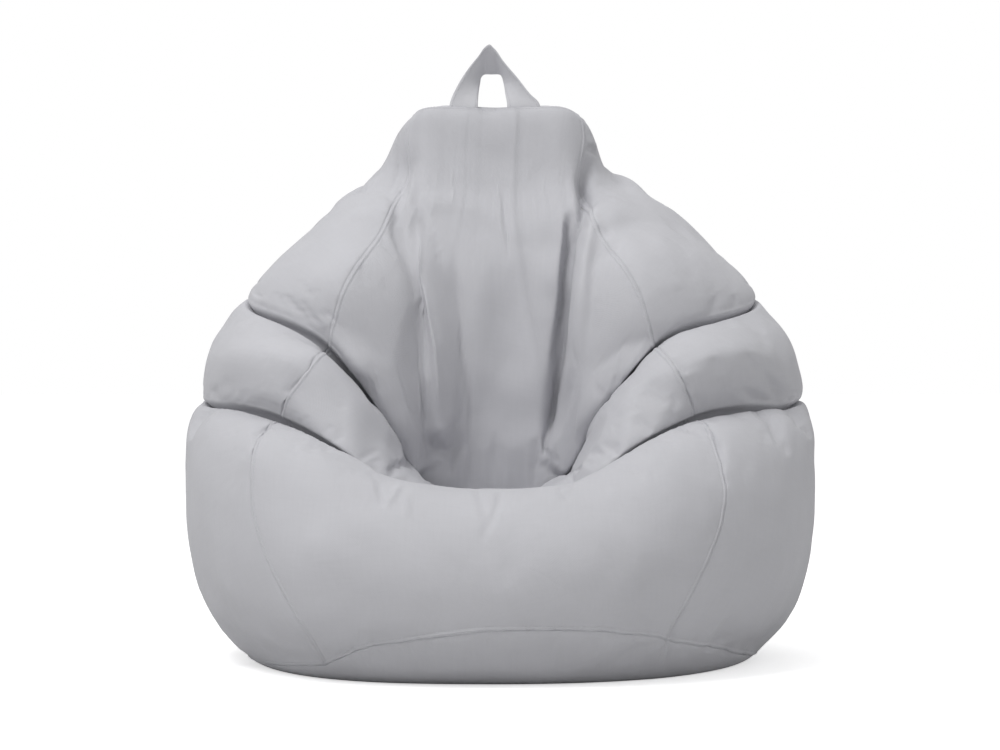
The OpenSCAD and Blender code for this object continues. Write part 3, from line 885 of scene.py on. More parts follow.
    def column_places(self, fine: Points, far: Points) -> Points:
        """Where the columns cross one row.

        Args:
            fine: A fine set of places.
            far: How far round the row each of them is.

        Returns:
            The columns' places, without the last, which is the first again.
        """
        out = []
        self.columns = [0]
        for k, count in enumerate(self.middle_columns):
            a, b = (int(round((p - self.seam_places[0]) * self.steps)) for p in self.seam_places[k : k + 2])
            at = self.steps_between(far[b] - far[a], True, True, count)
            out.append(np.interp(at, far[a : b + 1] - far[a], fine[a : b + 1])[:-1])
            self.columns.append(self.columns[-1] + len(out[-1]))
        return np.concatenate(out)

    def outward(self, p: Points) -> Points:
        """The outward directions, smoothed a little where rows run together."""
        n = grid_normals(p, True)
        n = unit(n + 0.5 * (np.roll(n, 1, axis=1) + np.roll(n, -1, axis=1)))
        n[: self.rows["floor"]] = (0, 0, -1)
        return n

    def seen(self) -> tuple[Points, Points]:
        """Where the camera sees each point, in the plane through the bag's middle, and how squarely."""
        eye, p = self.eye, self.points
        near = eye[1] / (eye[1] - p[..., 1])
        flat = np.stack([p[..., 0] * near, eye[2] + (p[..., 2] - eye[2]) * near], axis=-1)
        facing = np.sum(self.normals * unit(eye - p), axis=-1)
        return flat, facing

    def seam_profile(self) -> Points:
        """How far the seams' grooves, bands and puckers lift each point."""
        rows, columns = self.points.shape[:2]
        lift = np.zeros((rows, columns))
        shape = self.seam
        first, last = self.rows["side"], self.rows["top"]
        band, plain = np.array(shape.band), np.array(shape.plain)
        near = len(shape.offsets)
        pucker = Waves(shape.pucker_length, 1.0, seed=5).at(self.points)
        fades = [math.exp(-((offset / shape.pucker_fade) ** 2)) for offset in shape.offsets]
        for k, c in enumerate(self.columns[:-1]):
            # The band lies on the front panel's side at the front seams, and on the sitter's left elsewhere.
            right = k != 1
            for j in range(near):
                for side, here in ((1, (c + j) % columns), (-1, (c - j) % columns)):
                    if j == 0 and side < 0:
                        continue
                    profile = band if (side > 0) == right or j == 0 else plain
                    gathers = shape.pucker * fades[j] * pucker[first : last + 1, here]
                    lift[first : last + 1, here] += profile[j] + gathers
        for j in range(near):
            lift[first + j] += band[j] + shape.pucker * fades[j] * pucker[first + j]
            lift[last - j] += band[j] * shape.top_share + shape.pucker * fades[j] * pucker[last - j]
            if j:
                lift[first - j] += plain[j]
        lift[last + 1] += plain[1]
        return lift

    def from_front(self) -> Points:
        """How far round each point is from the front middle, either way."""
        m = np.mod(self.place, TURN)
        return np.where(m <= TURN / 2, m, TURN - m)

    def pinched(self) -> Points:
        """How far the creases pinch the cloth in, to a crisp line, round the front and the sides."""
        up = np.linalg.norm(np.diff(self.points, axis=0), axis=-1)
        up = np.concatenate([np.zeros((1, up.shape[1])), np.cumsum(up, axis=0)])
        strength = np.interp(self.from_front(), self.pinch_places, self.pinch_depths)
        lift = np.zeros(self.height.shape)
        for crease in self.crease_rings:
            row = int(np.argmin(np.abs(self.height[:, 0] - crease)))
            far = np.abs(up - up[row])
            slot, shoulder = np.exp(-far / self.slot_width), np.exp(-far / self.shoulder_width)
            lift -= strength * (slot + self.shoulder * shoulder)
        return lift

    def fold_cloth(self, folds: Sequence[Fold], swells: Sequence[Waves]) -> None:
        """Moves the cloth where it folds, swells and is sewn.

        Args:
            folds: The folds on the front.
            swells: Irregular swells all over.
        """
        flat, facing = self.seen()
        facing = ease((facing - self.edge_on) / self.facing_range)
        lift = self.pinched()
        folded = sum(fold.lift(flat, self.height) for fold in folds) * facing
        free = ease((self.points[..., 2] - self.floor_room) / self.floor_fade)
        creased = 1 - ease(self.from_front() - self.crease_ends)
        pinned = sum(np.exp(-(((self.height - k) / self.pinned_rows) ** 2)) for k in self.crease_rings)
        pinned = 1 - pinned * creased
        zip_flat = self.form.zip_weight(self.points[..., 0], self.points[..., 2])
        behind = np.where(self.points[..., 1] > self.back_starts, 1 - zip_flat, 1.0)
        calm = 1 - self.top_calm * ease((self.height - LAST + 1.0) / 0.8)
        for swell in swells:
            lift += swell.at(self.points) * free * pinned * behind * calm
        forward = unit(self.normals + self.view_pull * unit(self.eye - self.points))
        self.points = self.points + self.normals * lift[..., None] + forward * folded[..., None]
        self.points[..., 2] = np.maximum(self.points[..., 2], 0.0)
        self.normals = self.outward(self.points)

    def deepest(self, reach: int = 10) -> Points:
        """How far in the cloth's folds come near each point, in metres, smoothed."""
        moved = self.points - self.flat_points
        inward = np.sum(moved * self.flat_normals, axis=-1) < 0
        depth = -np.linalg.norm(moved, axis=-1) * inward
        for axis in (0, 1):
            shifted = [np.roll(depth, k, axis=axis) for k in range(-reach, reach + 1)]
            depth = np.minimum.reduce(shifted)
        for axis in (0, 1):
            shifted = [np.roll(depth, k, axis=axis) for k in range(-reach // 2, reach // 2 + 1)]
            depth = sum(shifted) / (reach + 1)
        return depth

    def sew(self) -> Points:
        """The cover's outside, with its seams sewn into the cloth."""
        sewn = self.points + self.normals * self.seam_profile()[..., None]
        sewn[..., 2] = np.maximum(sewn[..., 2], 0.0)
        return sewn


CLOTH_SETTINGS = {
    "quality": 4,
    "mass": 0.25,
    "tension_stiffness": 12,
    "compression_stiffness": 8,
    "shear_stiffness": 4,
    "bending_stiffness": 0.3,
    "use_pressure": True,
    "shrink_min": -0.015,
}


@dataclass(frozen=True)
class Relaxer:
    """Lets the cloth swell and wrinkle under the beads' pressure, in a cloth simulation of a coarser net."""

    pressure: float = 4.0
    frames: int = 20
    cap: float = 0.012
    every: int = 2
    blur: int = 9
    swelling_kept: float = 0.2
    # How far round the creases, the floor edge, the neck and the back seam the cloth is held.
    crease_hold: float = 0.2
    floor_hold: tuple[float, float] = (0.2, 0.8)
    neck_hold: tuple[float, float] = (1.6, 1.2)
    back_hold: float = 0.35
    least_hold: float = 0.02

    def hold(self, net: Net, rows: Points, columns: Points) -> Points:
        """How firmly each point of the coarse net is held in place, from 0 to 1."""
        height, place = net.height[np.ix_(rows, columns)], np.mod(net.place[np.ix_(rows, columns)], TURN)
        held = np.zeros(height.shape)
        for crease in net.crease_rings:
            held = np.maximum(held, np.exp(-(((height - crease) / self.crease_hold) ** 2)))
        floor = 1 - ease((height - self.floor_hold[0]) / self.floor_hold[1])
        neck = ease((height - LAST + self.neck_hold[0]) / self.neck_hold[1])
        held = np.maximum(held, np.maximum(floor, neck))
        return np.maximum(held, np.exp(-(((place - TURN / 2) / self.back_hold) ** 2)))

    def settle(self, start: Points, held: Points) -> Points:
        """Runs the simulation.

        Args:
            start: The coarse net's points.
            held: How firmly each is held.

        Returns:
            How far each point moved.
        """
        piece = new_object("settling_cloth", start, grid_faces(*start.shape[:2], wrap=True))
        pins = piece.vertex_groups.new(name="held")
        for index, weight in enumerate(held.ravel()):
            if weight > self.least_hold:
                pins.add([index], float(weight), "REPLACE")
        cloth = piece.modifiers.new("settle", "CLOTH")
        for name, value in CLOTH_SETTINGS.items():
            setattr(cloth.settings, name, value)
        cloth.settings.uniform_pressure_force = self.pressure
        cloth.settings.effector_weights.gravity = 0
        cloth.settings.vertex_group_mass = "held"
        cloth.collision_settings.use_collision = False
        scene = bpy.context.scene
        scene.frame_start, scene.frame_end = 1, self.frames
        for frame in range(1, self.frames + 1):
            scene.frame_set(frame)
        settled = piece.evaluated_get(bpy.context.evaluated_depsgraph_get())
        after = np.empty(start.size)
        settled.data.vertices.foreach_get("co", after)
        scene.frame_set(1)
        bpy.data.objects.remove(piece)
        return after.reshape(start.shape) - start

    def run(self, net: Net) -> None:
        """Simulates the cloth, and moves the net's points by what the simulation moved its own.

        Args:
            net: The net, whose points are changed.
        """
        row_count, column_count = net.points.shape[:2]
        rows = np.unique(np.concatenate([np.arange(0, row_count, self.every), [row_count - 1]]))
        columns = np.arange(0, column_count, self.every)
        held = self.hold(net, rows, columns)
        move = self.settle(net.points[np.ix_(rows, columns)], held)
        far = np.linalg.norm(move, axis=-1, keepdims=True)
        move *= np.minimum(1.0, self.cap / np.maximum(far, 1e-9)) * (1 - held[..., None])
        swelling = move
        for axis in (0, 1, 0, 1):
            rolled = [np.roll(swelling, k, axis=axis) for k in range(-self.blur, self.blur + 1)]
            swelling = sum(rolled) / len(rolled)
        move = move - swelling * (1 - self.swelling_kept)
        most, mean = far.max() * 1000, far.mean() * 1000
        log.info("cloth settled: moved %.1f mm at most, %.1f mm on average", most, mean)
        across = np.concatenate([move, move[:, :1]], axis=1)
        at = np.concatenate([columns, [column_count]])
        all_columns, all_rows = np.arange(column_count), np.arange(row_count)
        wide = np.array([[np.interp(all_columns, at, row[:, k]) for k in range(3)] for row in across])
        tall = np.array([[np.interp(all_rows, rows, wide[:, k, c]) for c in all_columns] for k in range(3)])
        net.points = net.points + np.moveaxis(tall, (0, 1, 2), (2, 1, 0))
        net.points[..., 2] = np.maximum(net.points[..., 2], 0.0)
        net.normals = net.outward(net.points)


# ---- Finishes ----


@dataclass
class Nodes:
    """Adds shader nodes to a tree and joins them."""

    tree: bpy.types.NodeTree

    def add(self, kind: str, **settings: object) -> bpy.types.Node:
        """A new node with its settings.

        Args:
            kind: The node's type.
            **settings: Attributes of the node, or values of its named inputs, with _ for a space.

        Returns:
            The node.
        """
        node = self.tree.nodes.new(kind)
        for key, value in settings.items():
            if hasattr(node, key):
                setattr(node, key, value)
            else:
                node.inputs[key.replace("_", " ")].default_value = value
        return node

    def join(self, start: bpy.types.NodeSocket, end: bpy.types.NodeSocket) -> None:
        """Joins an output to an input."""
        self.tree.links.new(start, end)

    def maths(self, operation: str, *values: object) -> bpy.types.NodeSocket:
        """A Math node's result.

        Args:
            operation: What it does.
            *values: Its inputs, as numbers or outputs of other nodes.

        Returns:
            Its output.
        """
        node = self.add("ShaderNodeMath", operation=operation)
        for socket, value in zip(node.inputs, values):
            if isinstance(value, bpy.types.NodeSocket):
                self.join(value, socket)
            else:
                socket.default_value = value
        return node.outputs[0]

    def mix(
        self, share: bpy.types.NodeSocket, dark: Colour, light: Colour, end: bpy.types.NodeSocket
    ) -> None:
        """Mixes two colours into an input.

        Args:
            share: How much of the second colour there is, from 0 to 1.
            dark: The first colour.
            light: The second.
            end: The input.
        """
        colour = self.add("ShaderNodeMix", data_type="RGBA")
        colour.inputs["A"].default_value = (*dark, 1)
        colour.inputs["B"].default_value = (*light, 1)
        self.join(share, colour.inputs["Factor"])
        self.join(colour.outputs["Result"], end)


def new_material(name: str) -> tuple[bpy.types.Material, Nodes, bpy.types.Node]:
    """A new material, its nodes and its shader."""
    material = bpy.data.materials.new(name)
    material.use_nodes = True
    return material, Nodes(material.node_tree), material.node_tree.nodes["Principled BSDF"]


def new_group(name: str, inputs: dict[str, tuple[str, float]], outputs: Sequence[str]) -> tuple:
    """An empty shader node group.

    Args:
        name: Its name.
        inputs: Each input's name, with its kind and the value it starts with.
        outputs: The names of its outputs, which are all values.

    Returns:
        The group, its nodes, its input node and its output node.
    """
    group = bpy.data.node_groups.new(name, "ShaderNodeTree")
    for key, (kind, value) in inputs.items():
        socket = group.interface.new_socket(key, in_out="INPUT", socket_type=kind)
        if kind == "NodeSocketFloat":
            socket.default_value = value
    for key in outputs:
        group.interface.new_socket(key, in_out="OUTPUT", socket_type="NodeSocketFloat")
    nodes = Nodes(group)
    return group, nodes, nodes.add("NodeGroupInput"), nodes.add("NodeGroupOutput")


SLUB_SCALE = 220.0  # how many thick stretches of thread there are in a metre
SLUB_STRETCH = (1.0, 0.12)  # how their pattern is drawn out along the threads


def weave_group() -> bpy.types.NodeTree:
    """A plain weave: threads that pass over and under each other, some a little thicker than others."""
    group, nodes, given, out = new_group(
        "plain_weave",
        {"Vector": ("NodeSocketVector", 0.0), "Threads": ("NodeSocketFloat", 1000.0)},
        ("Height", "Thread"),
    )
    parts = nodes.add("ShaderNodeSeparateXYZ")
    nodes.join(given.outputs["Vector"], parts.inputs[0])
    turns = nodes.maths("MULTIPLY", given.outputs["Threads"], math.pi)
    across = nodes.maths("SINE", nodes.maths("MULTIPLY", parts.outputs[0], turns))
    along = nodes.maths("SINE", nodes.maths("MULTIPLY", parts.outputs[1], turns))
    height = nodes.maths("MULTIPLY_ADD", nodes.maths("MULTIPLY", across, along), 0.5, 0.5)
    slubs = []
    for stretch in (SLUB_STRETCH, SLUB_STRETCH[::-1]):
        mapping = nodes.add("ShaderNodeMapping", Scale=(*stretch, 1.0))
        nodes.join(given.outputs["Vector"], mapping.inputs["Vector"])
        slub = nodes.add("ShaderNodeTexNoise", noise_dimensions="2D", Scale=SLUB_SCALE, Detail=2.0)
        nodes.join(mapping.outputs[0], slub.inputs["Vector"])
        slubs.append(slub.outputs[0])
    thread = nodes.maths("MULTIPLY_ADD", nodes.maths("ADD", *slubs), 0.5, 0.0)
    nodes.join(nodes.maths("MULTIPLY_ADD", thread, 0.5, height), out.inputs["Height"])
    nodes.join(thread, out.inputs["Thread"])
    return group


def crumple_group() -> bpy.types.NodeTree:
    """Small crumples in cloth: soft swells crossed by faint creases."""
    group, nodes, given, out = new_group(
        "crumple",
        {"Vector": ("NodeSocketVector", 0.0), "Scale": ("NodeSocketFloat", 12.0)},
        ("Height", "Shade"),
    )
    swell = nodes.add("ShaderNodeTexNoise", Detail=3.0, Roughness=0.45, Distortion=0.6)
    nodes.join(given.outputs["Vector"], swell.inputs["Vector"])
    nodes.join(given.outputs["Scale"], swell.inputs["Scale"])
    crease = nodes.add("ShaderNodeTexNoise", Detail=2.0, Roughness=0.5, Distortion=1.4)
    nodes.join(given.outputs["Vector"], crease.inputs["Vector"])
    nodes.join(nodes.maths("MULTIPLY", given.outputs["Scale"], 0.8), crease.inputs["Scale"])
    line = nodes.maths("ABSOLUTE", nodes.maths("SUBTRACT", crease.outputs[0], 0.5))
    line = nodes.maths("MINIMUM", nodes.maths("MULTIPLY", line, 14.0), 1.0)
    nodes.join(nodes.maths("MULTIPLY_ADD", line, 0.03, swell.outputs[0]), out.inputs["Height"])
    # Shade is the swells' height alone: the woven finish paints it as shade on its crumples, and the smooth
    # finishes use it as a random tone.
    nodes.join(swell.outputs[0], out.inputs["Shade"])
    return group


@dataclass
class Groups:
    """The shader node groups that the finishes share."""

    weave: bpy.types.NodeTree = field(default_factory=weave_group)
    crumple: bpy.types.NodeTree = field(default_factory=crumple_group)


@dataclass(frozen=True)
class ClothFinish:
    """Woven cloth: two close shades of one colour, a weave, and small crumples, with painted shade darkening
    the crumples' hollows.
    """

    name: str
    dark: Colour
    light: Colour
    roughness: float = 0.82
    sheen: float = 0.12
    sheen_roughness: float = 0.45
    shine: float = 0.35
    threads: float = 900.0
    weave_depth: float = 0.00022
    crumple_scale: float = 9.0
    crumple_depth: float = 0.0035

    def make(self, groups: Groups) -> bpy.types.Material:
        """The material.

        Args:
            groups: The shared node groups.

        Returns:
            The new material.
        """
        material, nodes, shader = new_material(self.name)
        shader.inputs["Roughness"].default_value = self.roughness
        shader.inputs["Sheen Weight"].default_value = self.sheen
        shader.inputs["Sheen Roughness"].default_value = self.sheen_roughness
        shader.inputs["Specular IOR Level"].default_value = self.shine
        place = nodes.add("ShaderNodeUVMap", uv_map="cloth")
        where = nodes.add("ShaderNodeTexCoord")
        weave = nodes.add("ShaderNodeGroup", node_tree=groups.weave)
        weave.inputs["Threads"].default_value = self.threads
        nodes.join(place.outputs[0], weave.inputs["Vector"])
        crumple = nodes.add("ShaderNodeGroup", node_tree=groups.crumple)
        crumple.inputs["Scale"].default_value = self.crumple_scale
        nodes.join(where.outputs["Object"], crumple.inputs["Vector"])
        # Painted shade: the colour follows the crumples' bumped height, darker in their hollows and lighter
        # on their swells; the slubs add the threads' own tone.
        crumple_painted_shade = nodes.maths("MULTIPLY_ADD", crumple.outputs["Shade"], 0.5, 0.08)
        tone = nodes.maths("MULTIPLY_ADD", weave.outputs["Thread"], 0.35, crumple_painted_shade)
        nodes.mix(tone, self.dark, self.light, shader.inputs["Base Color"])
        soft = nodes.add("ShaderNodeBump", Strength=1.0, Distance=self.crumple_depth)
        nodes.join(crumple.outputs["Height"], soft.inputs["Height"])
        fine = nodes.add("ShaderNodeBump", Strength=0.8, Distance=self.weave_depth)
        nodes.join(weave.outputs["Height"], fine.inputs["Height"])
        nodes.join(soft.outputs[0], fine.inputs["Normal"])
        nodes.join(fine.outputs[0], shader.inputs["Normal"])
        return material


@dataclass(frozen=True)
class GrainFinish:
    """A smooth material with a fine grain: moulded nylon, die-cast metal, spun thread or beads."""

    name: str
    dark: Colour
    light: Colour
    roughness: float = 0.5
    roughness_range: float = 0.2
    metallic: float = 0.0
    grain: float = 400.0
    depth: float = 0.0001
    cells: bool = False

    def make(self, groups: Groups) -> bpy.types.Material:
        """The material.

        Args:
            groups: The shared node groups.

        Returns:
            The new material.
        """
        material, nodes, shader = new_material(self.name)
        shader.inputs["Metallic"].default_value = self.metallic
        where = nodes.add("ShaderNodeTexCoord")
        if self.cells:
            grain = nodes.add("ShaderNodeTexVoronoi", Scale=self.grain)
            height = nodes.maths("SUBTRACT", 1.0, grain.outputs["Distance"])
        else:
            grain = nodes.add("ShaderNodeTexNoise", Scale=self.grain, Detail=4.0)
            height = grain.outputs[0]
        nodes.join(where.outputs["Object"], grain.inputs["Vector"])
        wear = nodes.add("ShaderNodeGroup", node_tree=groups.crumple)
        wear.inputs["Scale"].default_value = self.grain / 8
        nodes.join(where.outputs["Object"], wear.inputs["Vector"])
        nodes.mix(wear.outputs["Shade"], self.dark, self.light, shader.inputs["Base Color"])
        least = self.roughness - self.roughness_range / 2
        rough = nodes.maths("MULTIPLY_ADD", wear.outputs["Shade"], self.roughness_range, least)
        nodes.join(rough, shader.inputs["Roughness"])
        bump = nodes.add("ShaderNodeBump", Strength=0.7, Distance=self.depth)
        nodes.join(height, bump.inputs["Height"])
        nodes.join(bump.outputs[0], shader.inputs["Normal"])
        return material


COVER_CLOTH = ClothFinish("cover_cloth", (0.475, 0.475, 0.500), (0.575, 0.575, 0.605))
STRAP_CLOTH = ClothFinish("strap_cloth", (0.56, 0.56, 0.585), (0.67, 0.67, 0.70), crumple_depth=0.001)
LINER_CLOTH = ClothFinish(
    "liner_cloth", (0.78, 0.78, 0.76), (0.88, 0.88, 0.86), threads=1400.0, weave_depth=0.00012
)
SEAM_THREAD = GrainFinish("seam_thread", (0.50, 0.50, 0.53), (0.60, 0.60, 0.63), roughness=0.6, grain=2200.0)
ZIP_TAPE = GrainFinish("zip_tape", (0.30, 0.30, 0.32), (0.38, 0.38, 0.40), roughness=0.8, grain=1600.0)
ZIP_NYLON = GrainFinish(
    "zip_nylon", (0.24, 0.24, 0.26), (0.32, 0.32, 0.34), roughness=0.38, grain=900.0, depth=0.00003
)
ZIP_METAL = GrainFinish(
    "zip_metal", (0.50, 0.50, 0.52), (0.66, 0.66, 0.68), roughness=0.34, metallic=1.0, grain=500.0,
    depth=0.00003,
)
BEAD_FOAM = GrainFinish(
    "bead_foam", (0.86, 0.86, 0.85), (0.95, 0.95, 0.94), roughness=0.75, grain=230.0, depth=0.004,
    cells=True,
)


# ---- The cover ----


@dataclass(frozen=True)
class SheetSize:
    """The size a piece of cloth was cut to, in metres and square metres."""

    width: float
    length: float
    area: float


def dress(piece: bpy.types.Object, node: str, finish: bpy.types.Material) -> bpy.types.Object:
    """Gives a piece of the bag its finish, hangs it on the bag's body and hides the CAD node it stands for.

    Args:
        piece: The object.
        node: The CAD node it stands for.
        finish: Its material.

    Returns:
        The object.
    """
    piece.data.materials.append(finish)
    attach(piece, "bag")
    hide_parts(node)
    return piece


def closed_gore(name: str, outside: Points, inside: Points) -> bpy.types.Object:
    """A closed sheet between two grids of points, with its cloth coordinates."""
    piece = new_object(name, *shell(outside, inside))
    uv = cloth_uv(outside).reshape(-1, 2)
    give_uv(piece, np.concatenate([uv, uv]))
    return piece


def closed_disc(name: str, outer: Points, inner: Points, pole_first: bool) -> bpy.types.Object:
    """A closed round sheet between two grids of points that run all the way round.

    Args:
        name: The object's name.
        outer: The outside, rows by columns by 3.
        inner: The inside, in the same order.
        pole_first: Whether the disc's middle is before the first row, rather than after the last.

    Returns:
        The object, with its cloth coordinates.
    """
    rows, columns = outer.shape[:2]
    size = rows * columns
    face = grid_faces(rows, columns, True)
    c = np.arange(columns)
    d = (c + 1) % columns
    top = (rows - 1) * columns
    rim = top if pole_first else 0
    pole = 0 if pole_first else top
    middle, inside = outer[0 if pole_first else -1].mean(0), inner[0 if pole_first else -1].mean(0)
    points = np.concatenate([outer.reshape(-1, 3), inner.reshape(-1, 3), middle[None], inside[None]])
    border = np.stack([rim + c, rim + d, rim + d + size, rim + c + size], axis=1)
    fan = np.stack([pole + d, pole + c, np.full(columns, 2 * size)], axis=1)
    if not pole_first:
        border, fan = border[:, ::-1], fan[:, [1, 0, 2]]
    fan_in = fan[:, ::-1].copy()
    fan_in[fan_in < 2 * size] += size
    fan_in[fan_in == 2 * size] += 1
    faces = [part.tolist() for part in (face, face[:, ::-1] + size, border, fan, fan_in)]
    piece = new_object(name, points, sum(faces, []))
    give_uv(piece, points[:, :2])
    return piece


@dataclass
class Cover:
    """The sewn outer cover: seven cloth pieces, parted at the back by the zip."""

    net: Net
    thickness: float = 0.0012
    zip_gap: float = 0.013
    zip_reach: float = 0.197
    zip_fade: float = 0.035
    closed_gap: float = 0.00004
    least_gap: float = 0.0002
    parted_width: float = 0.03
    back_starts: float = 0.1

    def zip_opening(self, z: Points, reach: float) -> Points:
        """Half the opening in the back seam at height z."""
        past = ease((np.abs(z - self.net.form.zip_height()) - reach) / self.zip_fade)
        return self.closed_gap + (self.zip_gap / 2 - self.closed_gap) * (1 - past)

    def parted(self, p: Points, side: int, reach: float) -> Points:
        """Cloth beside the back seam, moved aside to leave the zip's opening.

        Args:
            p: The points.
            side: +1 for cloth on the sitter's left of the seam, and -1 for the other.
            reach: How far the opening runs each way from the zip's middle.

        Returns:
            The moved points.
        """
        out = p.copy()
        opening = self.zip_opening(p[..., 2], reach)
        off = side * p[..., 0]
        near = (np.abs(off) < self.parted_width) & (opening > self.least_gap) & (p[..., 1] > self.back_starts)
        aside = opening + np.maximum(off, 0) * (1 - opening / self.parted_width)
        out[..., 0] = np.where(near, side * aside, p[..., 0])
        return out

    def build(self, cloth: bpy.types.Material) -> list[bpy.types.Object]:
        """The seven pieces.

        Args:
            cloth: Their material.

        Returns:
            The objects.
        """
        net = self.net
        sewn = net.sew()
        inner = sewn - net.outward(sewn) * self.thickness
        made = []
        seams = net.columns[:-1] + [net.points.shape[1]]
        low, high = net.rows["side"], net.rows["top"]
        names = ("front_panel", "right_panel", "back_right_panel", "back_left_panel", "left_panel")
        for k, name in enumerate(names):
            columns = np.arange(seams[k], seams[k + 1] + 1) % net.points.shape[1]
            sides = [sewn[low : high + 1][:, columns], inner[low : high + 1][:, columns]]
            if name.startswith("back"):
                side = 1 if name == "back_right_panel" else -1
                sides = [self.parted(s, side, self.zip_reach) for s in sides]
            made.append(dress(closed_gore("cover_" + name, *sides), name, cloth))
        discs = (("base_panel", slice(0, low + 1), True), ("top_cap", slice(high, None), False))
        for name, rows, pole_first in discs:
            piece = closed_disc("cover_" + name, sewn[rows], inner[rows], pole_first)
            made.append(dress(piece, name, cloth))
        return made


@dataclass(frozen=True)
class Stitching:
    """Rows of topstitches that follow the seams' folded bands."""

    pitch: float = 0.0048
    length: float = 0.0040
    radius: float = 0.00048
    sides: int = 5
    sink: float = 0.00035
    # Rings along a stitch: each one's place in lengths, thickness in radii, and rise in sinks.
    rings: tuple[tuple[float, float, float], ...] = (
        (-0.42, 0.75, -0.4), (0.0, 1.0, 0.35), (0.42, 0.75, -0.4),
    )
    clear_steps: int = 3

    def stitch(self) -> tuple[Points, list]:
        """One stitch along X with Z out of the cloth: a short thread whose ends dive into the cloth."""
        points, faces = [(-self.length / 2, 0, -self.sink)], []
        for x, thick, rise in self.rings:
            for k in range(self.sides):
                turn = 2 * math.pi * k / self.sides
                r = self.radius * thick
                points.append((x * self.length, r * math.cos(turn), r * math.sin(turn) + rise * self.sink))
        points.append((self.length / 2, 0, -self.sink))
        n, last = self.sides, 3 * self.sides + 1
        for k in range(n):
            m = (k + 1) % n
            faces.append((0, 1 + m, 1 + k))
            faces.append((last, last - n + k, last - n + m))
            for ring in range(2):
                a = 1 + ring * n
                faces.append((a + k, a + m, a + n + m, a + n + k))
        return np.array(points), faces

    def row(self, path: Points, out: Points) -> tuple[Points, list]:
        """A row of stitches along a line on the cloth.

        Args:
            path: The line's points.
            out: The cloth's outward direction at each.

        Returns:
            The stitches' points and faces.
        """
        shape, shape_faces = self.stitch()
        at, _ = along_line(path, self.pitch)
        low = np.clip(np.floor(at).astype(int), 0, len(path) - 2)
        part = (at - low)[:, None]
        middle = path[low] * (1 - part) + path[low + 1] * part
        normal = unit(out[low] * (1 - part) + out[low + 1] * part)
        way = unit(path[low + 1] - path[low])
        way = unit(way - normal * np.sum(way * normal, axis=-1, keepdims=True))
        side = np.cross(normal, way)
        axes = np.stack([way, side, normal], axis=1)
        points = middle[:, None] + np.einsum("pk,skj->spj", shape, axes)
        faces = [[i + s * len(shape) for i in f] for s in range(len(at)) for f in shape_faces]
        return points.reshape(-1, 3), faces

    def rows(
        self, name: str, lines: Sequence[tuple[Points, Points]], thread: bpy.types.Material
    ) -> bpy.types.Object:
        """One piece of several rows.

        Args:
            name: The piece's name.
            lines: Each row's line and outward directions.
            thread: Its material.

        Returns:
            The object.
        """
        points, faces, count = [], [], 0
        for path, out in lines:
            p, f = self.row(path, out)
            points.append(p)
            faces += [[i + count for i in face] for face in f]
            count += len(p)
        piece = new_object(name, np.concatenate(points), faces)
        piece.data.materials.append(thread)
        return piece

    def follow_seams(self, cover: Cover, thread: bpy.types.Material) -> list[bpy.types.Object]:
        """The stitches of every seam of the cover.

        Args:
            cover: The cover.
            thread: Their material.

        Returns:
            One object for each seam.
        """
        net = cover.net
        sewn = net.sew()
        out = net.outward(sewn)
        low, high = net.rows["side"], net.rows["top"]
        steps = net.seam.stitch_steps
        made = []
        run = slice(low + self.clear_steps, high + 1 - self.clear_steps)
        sides = {"front_left": (1,), "front_right": (-1,), "back_right": (1,), "back_middle": (1, -1),
                 "back_left": (1,)}
        for start, name in zip(net.columns, sides):
            lines = []
            for step in steps:
                for side in sides[name]:
                    c = (start + side * step) % net.points.shape[1]
                    path = sewn[run, c]
                    if name == "back_middle":
                        path = cover.parted(path, -side, cover.zip_reach)
                    lines.append((path, out[run, c]))
            made.append(self.rows("stitches_" + name, lines, thread))
        base = [self.closed_line(sewn[low + step], out[low + step]) for step in steps]
        made.append(self.rows("stitches_base", base, thread))
        top = [self.closed_line(sewn[high - step], out[high - step]) for step in steps]
        made.append(self.rows("stitches_top", top, thread))
        for piece in made:
            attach(piece, "bag")
        return made

    def closed_line(self, path: Points, out: Points) -> tuple[Points, Points]:
        """A line and its outward directions, joined back to their start."""
        return np.concatenate([path, path[:1]]), np.concatenate([out, out[:1]])


# ---- The carry handle ----


